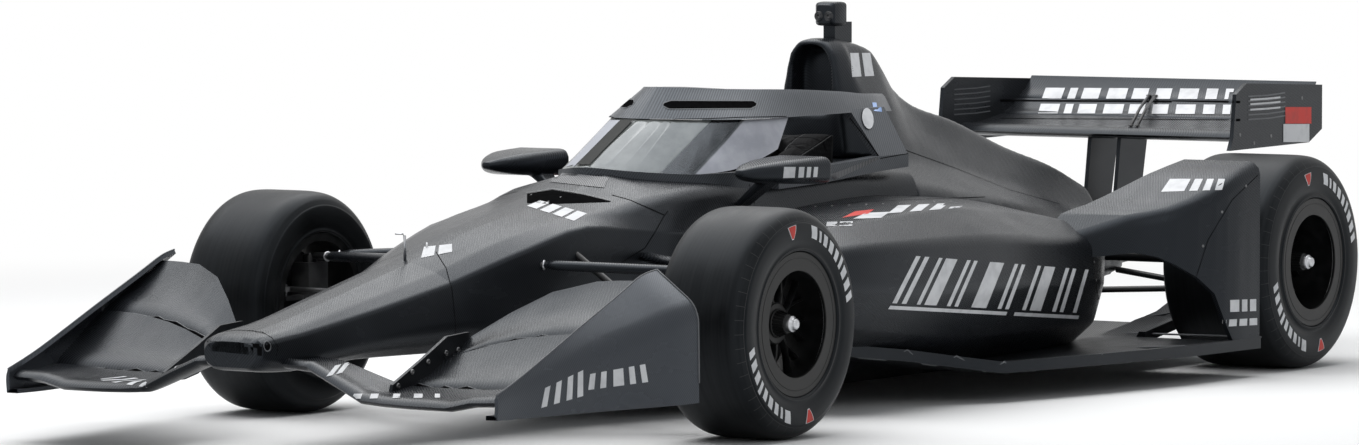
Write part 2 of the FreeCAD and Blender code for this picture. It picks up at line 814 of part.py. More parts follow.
def crash_box_shape():
    """The crash box at the tail, with the socket for the starter's shaft."""
    half = float(D.crash_half)
    end = station(-D.crash_end)
    wires = (
        upright_box(station(GEARBOX_REAR), half, 280, 500, (20, 20, 20, 20)),
        upright_box(end, half * 0.8, 310, 462, (16, 16, 16, 16)),
    )
    mouth = vec(end - 5, 0, STARTER_HEIGHT)
    socket = rod(mouth, vec(end + D.starter_depth, 0, STARTER_HEIGHT), D.starter_radius)
    return loft(wires).cut(socket)


STARTER_HEIGHT = 350
feature("gearbox", gearbox_shape())
crash_box = crash_box_shape()
feature("rear_crash_box", crash_box)


# Wings


def foil(y, nose_x, nose_z, tail_x, tail_z, thick, camber):
    """A wing section in an upright plane: rounded nose, thin tail, belly curved down."""
    nose_point = vec(nose_x, y, nose_z)
    tail_point = vec(tail_x, y, tail_z)
    along = tail_point.sub(nose_point)
    up = vec(0, 1, 0).cross(along)
    up.normalize()
    if up.z < 0:
        up = up.negative()
    thick = float(thick)

    def at(share, height):
        return nose_point + along * share + up * height

    upper = Part.BSplineCurve()
    upper.interpolate([
        at(0, 0),
        at(0.06, thick * 0.34),
        at(0.35, thick * 0.42 - camber),
        at(0.7, thick * 0.25 - camber),
        at(1, 2),
    ])
    lower = Part.BSplineCurve()
    lower.interpolate([
        at(1, 0),
        at(0.7, -thick * 0.34 - camber),
        at(0.35, -thick * 0.58 - camber),
        at(0.06, -thick * 0.4),
        at(0, 0),
    ])
    end = Part.LineSegment(at(1, 2), at(1, 0))
    return Part.Wire([upper.toShape(), end.toShape(), lower.toShape()])


def wing(rows, thick, camber):
    """A wing through sections given as y, nose x, nose z, tail x, tail z."""
    wires = []
    for y, nose_x, nose_z, tail_x, tail_z in filled_in(rows, 110):
        wires.append(foil(y, station(nose_x), nose_z, station(tail_x), tail_z, thick, camber))
    return loft(wires)


# How far a front plane is drawn past the endplates' front before they cut it off
TIP_SPARE = 170


def endplate_shapes():
    """The left endplate, sweeping outward at the rear, and all space on its outer side."""
    top_y = float(D.wing_span_half)
    wall = float(D.endplate_wall)
    far = top_y + 3 * TIP_SPARE
    # Drawn station, then offset and height of the inner face at its foot, shoulder and top
    rows = (
        (1290, (0, 142), (4, 182), (2, 198)),
        (1150, (12, 140), (12, 222), (0, 248)),
        (900, (52, 140), (50, 300), (0, 352)),
        (700, (96, 140), (96, 352), (0, 434)),
        (590, (124, 141), (124, 386), (0, 480)),
        (520, (140, 143), (136, 402), (6, 494)),
    )
    plates = []
    sides = []
    for drawn, foot, shoulder, head in rows:
        foot_y, low_z = top_y + foot[0], foot[1]
        mid_y, mid_z = top_y + shoulder[0], shoulder[1]
        head_y, high_z = top_y + head[0], head[1]
        plate = (
            (foot_y + wall, low_z),
            (mid_y + wall, mid_z + wall / 3),
            (head_y + wall / 2, high_z + wall),
            (head_y - wall / 4, high_z + wall * 0.7),
            (head_y, high_z),
            (mid_y, mid_z),
            (foot_y, low_z + wall),
            (foot_y - 26, low_z + wall),
            (foot_y - 26, low_z),
        )
        side = (
            (foot_y, low_z - wall),
            (far, low_z - wall),
            (far, high_z + 10 * wall),
            (head_y, high_z + 10 * wall),
            (head_y, high_z),
            (mid_y, mid_z),
            (foot_y, low_z + wall),
        )
        for corners, wires in ((plate, plates), (side, sides)):
            points = [vec(station(drawn), y, z) for y, z in corners]
            wires.append(Part.makePolygon(points + points[:1]))
    return loft(plates), loft(sides)


def front_main_plane():
    """The main plane: low and flat outboard, curving up to the nose inboard."""
    span = float(D.wing_span_half)
    rows = (
        (100, 1262, 262, 1110, 272),
        (190, 1270, 258, 1095, 262),
        (275, 1278, 221, 1080, 232),
        (370, 1282, 176, 1068, 200),
        (520, 1282, 168, 1062, 198),
        (660, 1280, 167, 1062, 200),
        (span - 90, 1277, 184, 1062, 206),
        (span, 1272, 188, 1062, 208),
        (span + TIP_SPARE, 1272, 188, 1062, 208),
    )
    return wing(rows, D.main_thick, 4).cut(nose).cut(endplate_side)


def front_lower_flap():
    """The lower flap, left."""
    span = float(D.wing_span_half)
    rows = (
        (float(D.flap_inner), 1056, 198, 905, 262),
        (530, 1050, 196, 868, 306),
        (680, 1050, 201, 835, 334),
        (span, 1050, 206, 822, 344),
        (span + TIP_SPARE, 1050, 206, 822, 344),
    )
    return wing(rows, D.flap_thick, 5).cut(endplate_side)


def front_upper_flap():
    """The upper flap, left, twisted so that it stands steeper outboard."""
    span = float(D.wing_span_half)
    rows = (
        (float(D.flap_inner), 892, 260, 800, 312),
        (490, 864, 293, 722, 384),
        (580, 844, 313, 652, 440),
        (690, 821, 333, 594, 470),
        (span, 809, 342, 580, 476),
        (span + TIP_SPARE, 809, 342, 580, 476),
    )
    return wing(rows, D.flap_thick, 6).cut(endplate_side)


front_endplate, endplate_side = endplate_shapes()
main_plane_left = front_main_plane()
feature("front_wing_endplates", pair(front_endplate))
feature("front_wing_main_plane", pair(main_plane_left))
feature("front_wing_lower_flaps", pair(front_lower_flap()))
feature("front_wing_upper_flaps", pair(front_upper_flap()))


def adjuster_shape():
    """The plate that carries the flaps' inner ends above the main plane, left."""
    profile = (
        (1160, 184),
        (1152, 210),
        (1010, 272),
        (895, 326),
        (790, 332),
        (790, 296),
        (880, 252),
        (1000, 196),
        (1060, 184),
    )
    y_outer = D.flap_inner
    points = [vec(station(x), y_outer - D.adjuster_wall, z) for x, z in profile]
    plate = Part.Face(Part.makePolygon(points + points[:1])).extrude(vec(0, D.adjuster_wall, 0))
    return plate.cut(main_plane_left)


feature("front_wing_adjusters", pair(adjuster_shape()))


def rear_planes(nose_x, nose_z, tail_x, tail_z, thick, camber):
    """One plane of the rear wing over its whole span."""
    half = float(D.rear_span_half)
    section = (nose_x, nose_z, tail_x, tail_z)
    return wing(((-half, *section), (half, *section)), thick, camber)


rear_main = rear_planes(-3400, 718, -3690, 762, D.rear_main_thick, 8)
lower_rear_flap = rear_planes(-3702, 757, -3796, 812, D.rear_flap_thick, 4)
upper_rear_flap = rear_planes(-3808, 807, -3900, 886, D.rear_flap_thick, 4)
feature("rear_wing_main_plane", rear_main)
feature("rear_wing_flaps", Part.makeCompound([lower_rear_flap, upper_rear_flap]))


def rear_plate(name, side):
    """One endplate of the rear wing, as a padded outline."""
    body = doc.addObject("PartDesign::Body", name)
    rear = -HALF_LENGTH
    front = rear + D.rear_plate_length
    low = D.rear_plate_low
    top = D.rear_plate_top
    corners = (
        (front, low + 40),
        (front + 20, low),
        (rear + 92, low + 8),
        (rear, low + 50),
        (rear, top - 20),
        (front - 90, top),
        (front - 20, top - 34),
    )
    sketch = outline(body, "XZ_Plane", corners)
    pad(body, sketch, D.rear_plate_wall)
    place(body, 0, (D.rear_span_half + D.rear_plate_wall / 2) * side, 0)
    return body


rear_endplates = doc.addObject("Part::Compound", "rear_wing_endplates")
rear_endplates.Links = [rear_plate("rear_plate_left", 1), rear_plate("rear_plate_right", -1)]
sub_part(rear_endplates, "rear_wing_endplates")


def pylon_shape():
    """The left pylon that carries the rear wing on the crash box."""
    profile = ((-3400, 440), (-3560, 440), (-3640, 800), (-3455, 800))
    points = [vec(station(x), D.pylon_offset - D.pylon_wall / 2, z) for x, z in profile]
    return Part.Face(Part.makePolygon(points + points[:1])).extrude(vec(0, D.pylon_wall, 0))


pylon = pylon_shape().cut(crash_box).cut(rear_main)
pylon = min(pylon.Solids, key=lambda solid: abs(solid.CenterOfMass.z - 600))
feature("rear_wing_pylons", pair(pylon))


# Windscreen, its frames and the mirrors


def across_frame(place_x, y, heading, inner, outer, low, high):
    """An upright four-sided section that faces along a curve seen from above."""
    normal = vec(math.cos(heading), math.sin(heading), 0)
    centre = vec(place_x, y, 0)
    points = []
    for depth, z in ((inner, low), (outer, low), (outer, high), (inner, high)):
        spot = centre + normal * float(depth)
        points.append(vec(spot.x, spot.y, z))
    return Part.makePolygon(points + points[:1])


def plan_distance(first, second):
    """Distance between two rows as seen from above."""
    return math.hypot(second[0] - first[0], second[1] - first[1])


def swept(rows, gap=60):
    """Rows of (x, y, direction, height) of a left half, front first, as a full smooth sweep."""
    right = []
    for row in reversed(rows[1:]):
        turned_row = list(row)
        for index in range(0, len(row), 4):
            turned_row[index + 1] = -row[index + 1]
            turned_row[index + 2] = -row[index + 2]
        right.append(turned_row)
    return filled_in(right + list(rows), gap, plan_distance)


# The upper frame's lower outer edge: drawn station, half width, direction that the face
# looks in degrees and height, then how far its upper edge lies above and inside
UPPER_CURVE = (
    (-646, 0, 0, 863.4, 92, 98),
    (-661, 81, 30, 863.4, 91, 103),
    (-712, 146, 44, 861.6, 91, 106),
    (-785, 197, 60, 859.6, 90, 106),
    (-874, 233, 72, 858.6, 88, 100),
    (-984, 257, 82, 858.6, 85, 88),
    (-1072, 265, 90, 859.6, 82, 74),
    (-1250, 272, 92, 861, 74, 55),
    (-1430, 262, 99, 861, 64, 42),
    (-1620, 232, 108, 858, 54, 34),
    (-1830, 158, 118, 850, 54, 30),
)
FRAME_WALL = 26


def frame_section(row):
    """One section of the upper frame: a raked face with a rounded upper edge."""
    x, y, angle, low, rise, lean = row
    heading = math.radians(angle)
    normal = vec(math.cos(heading), math.sin(heading), 0)
    foot = vec(station(x), y, low)
    points = []
    for inward, up in (
        (0, 0),
        (lean - 9, rise - 9),
        (lean, rise),
        (lean + 14, rise - 2),
        (lean + FRAME_WALL, rise - 20),
        (FRAME_WALL + 6, 0),
    ):
        points.append(foot - normal * float(inward) + vec(0, 0, up))
    return Part.makePolygon(points + points[:1])


def frame_rows(rows):
    """The upper frame's rows over the whole width, front first on the left."""
    right = [(x, -y, -angle, low, rise, lean) for x, y, angle, low, rise, lean in reversed(rows[1:])]
    return filled_in(right + list(rows), 60, plan_distance)


def side_rail(side):
    """The rail along one cockpit side, which carries the upper frame's rear leg."""
    wires = []
    for x, outer, low, high in (
        (-900, 334, 652, 703),
        (-1130, 349, 662, 711),
        (-1448, 352, 684, 730),
        (-1612, 352, 691, 732),
    ):
        corners = ((outer - 36, low), (outer, low), (outer, high), (outer - 36, high))
        points = [vec(station(x), y * side, z) for y, z in corners]
        wires.append(Part.makePolygon(points + points[:1]))
    return loft(wires)


def upper_frame_shape():
    """The frame round the cockpit's top, with its legs, side rails and centre strut."""
    ring = loft([frame_section(row) for row in frame_rows(UPPER_CURVE)])
    pieces = []
    for side in (1, -1):
        foot = leg_section(-1446, -1612, 328, 352, 726, side)
        head = leg_section(-1424, -1628, 226, 254, 872, side)
        pieces += [loft((foot, head)), side_rail(side)]
    width = float(D.strut_width) / 2
    foot = BASE_CURVE[0][3] + float(D.seat_clearance)
    # The strut runs close behind the glass and turns forward into the ring
    strut_points = (
        (-376 - float(D.screen_wall), foot),
        (-657 - float(D.screen_wall), 863),
        (-680, 874),
        (-712, 890),
        (-738, 890),
        (-700, 862),
        (-424, foot),
    )
    points = [vec(station(x), -width, z) for x, z in strut_points]
    strut = Part.Face(Part.makePolygon(points + points[:1])).extrude(vec(0, 2 * width, 0))
    whole_frame = ring.fuse(pieces + [strut]).cut(tub_solid).cut(doc.getObject("engine_cover").Shape)
    return whole_frame.cut(doc.getObject("roll_hoop_fairing").Shape)


def leg_section(x_front, x_rear, y_inner, y_outer, height, side):
    """A flat section through one leg."""
    corners = ((x_front, y_inner), (x_front, y_outer), (x_rear, y_outer), (x_rear, y_inner))
    points = [vec(station(x), y * side, height) for x, y in corners]
    return Part.makePolygon(points + points[:1])


# Drawn station, half width, direction, height of the base frame's upper edge
BASE_CURVE = (
    (-372, 0, 0, 730),
    (-408, 96, 22, 722),
    (-500, 178, 44, 712),
    (-610, 240, 62, 706),
    (-720, 280, 76, 708),
    (-850, 296, 86, 712),
    (-960, 292, 92, 716),
)
# How far the glass's lower edge lies above the base frame at each of those places
GLASS_LIFT = (0, 0, 0, 0, 6, 28, 52)
# Where the glass's upper edge lies above each of those places
GLASS_TOP = (
    (-652, 0, 0, 862),
    (-668, 78, 30, 862),
    (-718, 140, 44, 860),
    (-790, 190, 60, 858),
    (-878, 226, 72, 857),
    (-985, 250, 82, 857),
    (-1072, 258, 90, 858),
)


def base_frame_shape():
    """The frame under the windscreen's lower edge, following the cowl."""
    wires = []
    for x, y, angle, high in swept(BASE_CURVE):
        low = high - float(D.base_height) - 60
        wires.append(across_frame(station(x), y, math.radians(angle), -20, 8, low, high))
    well = cockpit_well()
    return loft(wires).cut(tub_solid.cut(well)).cut(well_below())


def well_below():
    """The part of the cockpit below its rim, kept clear of the base frame's underside."""
    return block(station(-1300), station(-300), -400, 400, 0, 640)


def windscreen_shape():
    """The curved windscreen between its base and the upper frame."""
    wall = float(D.screen_wall)
    gap = float(D.seat_clearance)
    left = []
    for low, lift, high in zip(BASE_CURVE, GLASS_LIFT, GLASS_TOP):
        left.append(low[:3] + (low[3] + lift,) + high)
    wires = []
    for low_x, low_y, low_way, low_z, high_x, high_y, high_way, high_z in swept(left):
        way = math.radians((low_way + high_way) / 2)
        normal = vec(math.cos(way), math.sin(way), 0)
        low = vec(station(low_x), low_y, low_z + gap)
        high = vec(station(high_x), high_y, high_z + gap)
        face = [low, low - normal * wall, high - normal * wall, high]
        wires.append(Part.makePolygon(face + face[:1]))
    return loft(wires)


upper_frame = upper_frame_shape()
base_frame = base_frame_shape()
windscreen = windscreen_shape()
feature("screen_upper_frame", upper_frame.cut(base_frame))
feature("screen_base_frame", base_frame)
feature("windscreen", windscreen)


def mirror_shape():
    """The left mirror: a slim pod on a blade from the tub's side."""
    y_mid = float(D.mirror_centre)
    z_mid = float(D.mirror_height)
    rows = []
    bulges = ((-498, 14, 10, -18), (-560, 52, 24, -12), (-660, 84, 35, -4), (-822, 102, 41, 0))
    for drawn, wide, tall, shift in bulges:
        corners = (
            (y_mid + shift + wide, z_mid - tall),
            (y_mid + shift + wide, z_mid + tall),
            (y_mid + shift - wide, z_mid + tall),
            (y_mid + shift - wide, z_mid - tall),
        )
        rows.append((station(drawn), corners))
    pod = loft(sections_along(rows, (30, 30, 30, 30), 30))
    head = z_mid - 20
    blade_points = ((y_mid - 170, 590), (y_mid - 20, head), (y_mid - 70, head), (y_mid - 190, 590))
    points = [vec(station(-690), y, z) for y, z in blade_points]
    blade = Part.Face(Part.makePolygon(points + points[:1])).extrude(vec(-70, 0, 0))
    return pod.fuse(blade).cut(tub_solid)


feature("mirrors", pair(mirror_shape()))


# Cockpit

HEADREST_FRONT = -1100
HEADREST_BACK = -1330


def headrest_shape():
    """The padded collar round the driver's head, open to the front."""
    gap = float(D.seat_clearance)
    outer = float(D.well_half) - gap
    inner = 132
    rear = float(station(WELL_REAR)) + gap
    front = float(station(HEADREST_FRONT))
    back = float(station(HEADREST_BACK))
    corners = (
        (front, outer),
        (rear, outer),
        (rear, -outer),
        (front, -outer),
        (front, -inner),
        (back, -inner),
        (back, inner),
        (front, inner),
    )
    radii = (20, 50 + gap, 50 + gap, 20, 20, 90, 90, 20)
    wire = rounded_loop(corners, radii, lambda x, y: vec(x, y, 560))
    pad_solid = Part.Face(wire).extrude(vec(0, 0, 240))
    slope = 0.30
    points = (
        vec(front + 20, -400, 712),
        vec(rear - 20, -400, 712 + slope * (front - rear + 40)),
        vec(rear - 20, -400, 1000),
        vec(front + 20, -400, 1000),
    )
    wedge = Part.Face(Part.makePolygon(list(points) + [points[0]])).extrude(vec(0, 800, 0))
    return pad_solid.cut(wedge)


feature("headrest", headrest_shape())

seat = new_body("seat")
seat_foot = D.well_floor + D.seat_clearance
seat_back = station(WELL_REAR) + 92
seat_corners = (
    (station(-760), seat_foot),
    (station(-760), seat_foot + 55),
    (station(-1080), seat_foot + 80),
    (seat_back + 60, seat_foot + 395),
    (seat_back, seat_foot + 395),
    (seat_back, seat_foot),
)
pad(seat, outline(seat, "XZ_Plane", seat_corners), D.seat_half + D.seat_half)
place(seat, 0, 0, 0)

WHEEL_STATION = -672
WHEEL_HEIGHT = 600
tilt = math.radians(float(D.column_tilt))
column_way = vec(-math.cos(tilt), 0, math.sin(tilt))
wheel_centre = vec(station(WHEEL_STATION), 0, WHEEL_HEIGHT)


def dash_shape():
    """The dash across the front of the cockpit with the steering column."""
    half = float(D.well_half)
    hump_corners = ((-120, 560), (-120, 668), (120, 668), (120, 560))
    hump = cross_section(station(WELL_FRONT), hump_corners, (8, 40, 40, 8))
    rear = cross_section(station(-540), ((-150, 575), (-150, 655), (150, 655), (150, 575)), (8, 40, 40, 8))
    body = loft((hump, rear)).common(cockpit_well())
    start = wheel_centre - column_way * 190
    column = rod(start, wheel_centre + column_way * 8, D.column_radius)
    return body.fuse(column)


feature("dashboard", dash_shape().cut(base_frame))


def steering_wheel_shape():
    """The steering wheel: a flat plate with two grips, in the column's own direction."""
    half_width = float(D.steering_wheel_width) / 2
    half_height = float(D.steering_wheel_height) / 2
    wall = float(D.steering_wheel_wall)
    corners = (
        (-half_width * 0.55, -half_height),
        (half_width * 0.55, -half_height),
        (half_width, -half_height * 0.7),
        (half_width, half_height),
        (half_width * 0.5, half_height * 0.75),
        (-half_width * 0.5, half_height * 0.75),
        (-half_width, half_height),
        (-half_width, -half_height * 0.7),
    )
    wire = rounded_loop(corners, (20, 20, 18, 12, 15, 15, 12, 18), lambda y, z: vec(0, y, z))
    plate = Part.Face(wire).extrude(vec(-wall, 0, 0))
    boss = Part.makeCylinder(30, 30, vec(20, 0, 0), vec(-1, 0, 0))
    bore = Part.makeCylinder(float(D.column_radius) + 0.5, 32, vec(21, 0, 0), vec(-1, 0, 0))
    return plate.fuse(boss).cut(bore)


wheel_turn = FreeCAD.Rotation(vec(0, 1, 0), float(D.column_tilt))
feature("steering_wheel", steering_wheel_shape(), FreeCAD.Placement(wheel_centre, wheel_turn))


# Wheels: each turns about its own Y axis, outside face towards +Y before it is placed


def tyre(label, radius, width, depth, x, y, turn):
    """A slick tyre as a turned ring with rounded shoulders."""
    body = new_body(label)
    half = width / 2
    bead = depth - 14
    right = [
        (D.barrel_radius, bead - 8),
        (D.lip_radius + 1, bead),
        (D.lip_radius + 2, bead + 9),
        (D.lip_radius + 38, half - 2),
        (radius - 40, half),
        (radius, half - 7),
    ]
    left = [(across, -along) for across, along in reversed(right)]
    revolution = turned(body, outline(body, "XY_Plane", right + left))
    doc.recompute()
    fillet = body.newObject("PartDesign::Fillet", label + "Shoulders")
    fillet.Base = (revolution, ring_edges(revolution.Shape, float(radius)))
    bind(fillet, "Radius", D.shoulder_radius)
    body.Placement = FreeCAD.Placement(vec(0, 0, 0), FreeCAD.Rotation(vec(0, 0, 1), turn))
    place(body, x, y, radius)
    return body


def rim(label, depth, nut_reach, z, x, y, turn):
    """A rim: barrel with lips, flat outer ring, spoked web, hub and centre lock nut."""
    body = new_body(label)
    inside = D.barrel_radius - D.barrel_wall
    web_out = D.spoke_face
    web_in = D.spoke_face - D.spoke_wall
    bore = D.stub_radius + D.stub_clearance
    corners = (
        (0, nut_reach),
        (D.nut_radius, nut_reach),
        (D.nut_radius, web_out + 30),
        (D.hub_radius, web_out + 22),
        (D.hub_radius, web_out),
        (inside, web_out),
        (inside, depth - D.cover_ring_wall),
        (D.cover_ring_bore, depth - D.cover_ring_wall),
        (D.cover_ring_bore, depth),
        (D.lip_radius, depth),
        (D.lip_radius, depth - 6),
        (D.barrel_radius, depth - 20),
        (D.barrel_radius, 20 - depth),
        (D.lip_radius, 6 - depth),
        (D.lip_radius, 0 - depth),
        (inside, 0 - depth),
        (inside, web_in),
        (D.hub_radius, web_in),
        (D.hub_radius, web_in - 50),
        (bore, web_in - 50),
        (bore, web_out + 8),
        (0, web_out + 8),
    )
    turned(body, outline(body, "XY_Plane", corners))
    doc.recompute()
    # The window is drawn off the axle's upper side: a slot with slanted flanks
    window = outline(body, "XZ_Plane", (
        (-13, D.hub_radius + 14),
        (13, D.hub_radius + 14),
        (30, inside - 12),
        (-30, inside - 12),
    ))
    pocket = body.newObject("PartDesign::Pocket", label + "Window")
    pocket.Profile = window
    pocket.SideType = "Symmetric"
    bind(pocket, "Length", (web_out + 4) * 2)
    doc.recompute()
    pattern = body.newObject("PartDesign::PolarPattern", label + "Windows")
    pattern.Originals = [pocket]
    for origin_feature in body.Origin.OriginFeatures:
        if origin_feature.Role == "Y_Axis":
            pattern.Axis = (origin_feature, [""])
    pattern.Angle = 360
    bind(pattern, "Occurrences", D.spoke_windows)
    body.Tip = pattern
    body.Placement = FreeCAD.Placement(vec(0, 0, 0), FreeCAD.Rotation(vec(0, 0, 1), turn))
    place(body, x, y, z)
    return body


for side_name, side, turn in (("left", 1, 0), ("right", -1, 180)):
    front_y = D.front_tyre_centre * side
    rear_y = D.rear_tyre_centre * side
    front = (FRONT_AXLE, front_y, turn)
    rear = (REAR_AXLE, rear_y, turn)
    tyre("tyre_front_" + side_name, D.front_tyre_radius, D.front_tyre_width, D.front_rim_depth, *front)
    rim("rim_front_" + side_name, D.front_rim_depth, D.front_nut_reach, D.front_tyre_radius, *front)
    tyre("tyre_rear_" + side_name, D.rear_tyre_radius, D.rear_tyre_width, D.rear_rim_depth, *rear)
    rim("rim_rear_" + side_name, D.rear_rim_depth, D.rear_nut_reach, D.rear_tyre_radius, *rear)


# Front uprights, wishbones, steering rack


def front_upright_shape():
    """The left front upright with its axle stub, pivot pins and steering arm."""
    kingpin = float(D.kingpin_offset)
    middle = float(D.front_tyre_radius)
    half_height = float(D.upright_height) / 2
    half_length = float(D.upright_length) / 2
    wall = float(D.upright_wall)
    axle = float(FRONT_AXLE)
    centre = float(D.front_tyre_centre)
    along = (axle - half_length, axle + half_length)
    up_and_down = (middle - half_height, middle + half_height)
    body = block(*along, kingpin - wall / 2, kingpin + wall / 2, *up_and_down)
    stub_end = centre + float(D.spoke_face) + 5
    stub = rod(vec(axle, kingpin, middle), vec(axle, stub_end, middle), D.stub_radius)
    pin_reach = half_height + float(D.eye_height) + 4
    pins = rod(vec(axle, kingpin, middle - pin_reach), vec(axle, kingpin, middle + pin_reach), D.pin_radius)
    arm_end = float(D.steering_arm)
    arm_z = float(D.rack_height)
    arm = block(axle, axle + arm_end + 14, kingpin - 12, kingpin + 12, arm_z - 34, arm_z - 20)
    pin = rod(vec(axle + arm_end, kingpin, arm_z - 30), vec(axle + arm_end, kingpin, arm_z + 14), 6)
    return body.fuse([stub, pins, arm, pin])


front_upright = front_upright_shape()
feature("front_upright_left", front_upright)
feature("front_upright_right", mirrored(front_upright))


def wishbone(ball, inner_points, radius):
    """Two legs from one outer eye to two points on the body."""
    legs = [rod(ball, inner, radius) for inner in inner_points]
    return legs[0].fuse(legs[1:])


def front_suspension_shape():
    """The left upper and lower wishbones and the pushrod, joined at the lower eye."""
    axle = float(FRONT_AXLE)
    kingpin = float(D.kingpin_offset)
    middle = float(D.front_tyre_radius)
    reach = float(D.upright_height) / 2
    gap = float(D.seat_clearance)
    height = float(D.eye_height)
    hole = float(D.pin_radius + D.pin_clearance)
    upper_z = middle + reach + gap + height / 2
    lower_z = middle - reach - gap - height / 2
    # The legs leave their eyes on the side away from the upright, which turns beside them
    upper_leg = upper_z + float(D.leg_offset)
    lower_leg = lower_z - float(D.leg_offset)
    eyes = []
    for z in (upper_z, lower_z):
        base = vec(axle, kingpin, z - height / 2)
        eyes.append(Part.makeCylinder(float(D.eye_radius), height, base, vec(0, 0, 1)))
    upper_ends = (vec(axle + 210, 215, 482), vec(axle - 250, 262, 486))
    lower_ends = (vec(axle + 290, 190, 262), vec(axle - 270, 258, 252))
    upper = wishbone(vec(axle, kingpin - 12, upper_leg), upper_ends, D.link_radius)
    lower = wishbone(vec(axle, kingpin - 12, lower_leg), lower_ends, D.link_radius)
    pushrod = rod(vec(axle + 20, kingpin - 62, lower_z + 4), vec(axle + 52, 235, 515), D.link_radius)
    holes = rod(vec(axle, kingpin, 0), vec(axle, kingpin, 900), hole)
    upper_arm = upper.fuse(eyes[0]).cut(holes).cut(tub_solid)
    lower_arm = lower.fuse([eyes[1], pushrod]).cut(holes).cut(tub_solid)
    return upper_arm, lower_arm


def whole(shape):
    """The largest solid of a shape, without the ends that a cut left inside a shell."""
    return max(shape.Solids, key=lambda solid: solid.Volume)


upper_arm, lower_arm = front_suspension_shape()
arms = [whole(upper_arm), whole(lower_arm)]
feature("front_suspension", Part.makeCompound(arms + [mirrored(arm) for arm in arms]))


def rack_shape():
    """The steering rack with its track rods, whose eyes stop short of the arms' pins."""
    x = float(FRONT_AXLE + D.steering_arm)
    z = float(D.rack_height)
    kingpin = float(D.kingpin_offset)
    inner = 300
    bar = rod(vec(x, -inner, z), vec(x, inner, z), D.rack_radius)
    rods = []
    eye_outer = 6 + float(D.rod_stop) + 7
    for side in (1, -1):
        pin = vec(float(FRONT_AXLE) + float(D.steering_arm), side * kingpin, z)
        start = vec(x, side * (inner - 5), z)
        end = vec(pin.x, side * (kingpin - eye_outer + 3), z)
        rods.append(rod(start, end, D.link_radius - 2))
        eye = Part.makeCylinder(eye_outer, 14, pin - vec(0, 0, 7), vec(0, 0, 1))
        rods.append(eye.cut(Part.makeCylinder(eye_outer - 7, 20, pin - vec(0, 0, 10), vec(0, 0, 1))))
    return bar.fuse(rods)


feature("steering_rack", rack_shape())


# Rear uprights, wishbones and drive shafts


def rear_upright_shape():
    """The left rear upright with its axle stub."""
    axle = float(REAR_AXLE)
    middle = float(D.rear_tyre_radius)
    half_length = float(D.upright_length) / 2
    half_height = float(D.upright_height) / 2
    inner = float(D.rear_tyre_centre - D.rear_rim_depth) + 20
    along = (axle - half_length, axle + half_length)
    up_and_down = (middle - half_height, middle + half_height)
    body = block(*along, inner, inner + float(D.upright_wall), *up_and_down)
    stub_end = float(D.rear_tyre_centre) + float(D.spoke_face) + 5
    return body.fuse(rod(vec(axle, inner + 10, middle), vec(axle, stub_end, middle), D.stub_radius))


rear_upright = rear_upright_shape()
feature("rear_uprights", pair(rear_upright))


def rear_suspension_shape():
    """The left rear wishbones and pushrod, between upright and gearbox."""
    axle = float(REAR_AXLE)
    middle = float(D.rear_tyre_radius)
    inner = float(D.rear_tyre_centre - D.rear_rim_depth) + 24
    reach = 95
    upper_ends = (vec(axle + 260, 90, 420), vec(axle - 150, 80, 430))
    lower_ends = (vec(axle + 300, 90, 235), vec(axle - 170, 80, 290))
    upper = wishbone(vec(axle, inner, middle + reach), upper_ends, D.link_radius)
    lower = wishbone(vec(axle, inner, middle - reach), lower_ends, D.link_radius)
    return [upper, lower]


gearbox = doc.getObject("gearbox").Shape
cover_whole = doc.getObject("engine_cover").Shape
rear_arms = []
for arm in rear_suspension_shape():
    rear_arms.append(whole(arm.cut(rear_upright).cut(gearbox).cut(cover_whole)))
feature("rear_suspension", Part.makeCompound(rear_arms + [mirrored(arm) for arm in rear_arms]))

shaft_end = D.rear_tyre_centre - D.rear_rim_depth + 24
shaft_height = D.rear_tyre_radius
shaft_left = rod(vec(REAR_AXLE, 60, shaft_height), vec(REAR_AXLE, shaft_end, shaft_height), D.shaft_radius)
shaft_left = whole(shaft_left.cut(rear_upright).cut(gearbox))
feature("drive_shafts", pair(shaft_left))

doc.recompute()

# Every object must have worked before anything is written
problems = []
for obj in doc.Objects:
    if "Invalid" in obj.State or "Error" in obj.State:
        problems.append("%s: %s" % (obj.Name, obj.State))
for obj in SUBPARTS:
    if obj.Shape.isNull() or not obj.Shape.isValid():
        problems.append("%s: shape is null or not valid" % obj.Label)
    if not obj.Shape.Solids:
        problems.append("%s: no solid" % obj.Label)
if problems:
    raise RuntimeError("\n".join(problems))

os.makedirs("parts", exist_ok=True)
for obj in SUBPARTS:
    obj.Shape.exportStep("parts/%s.step" % obj.Label)
    box = obj.Shape.BoundBox
    print("%-26s solids %d  volume %.4f l  x %.0f..%.0f  y %.0f..%.0f  z %.0f..%.0f" % (
        obj.Label, len(obj.Shape.Solids), obj.Shape.Volume / 1e6,
        box.XMin, box.XMax, box.YMin, box.YMax, box.ZMin, box.ZMax))
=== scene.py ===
import json
import math

import bpy
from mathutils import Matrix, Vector
from mathutils.bvhtree import BVHTree


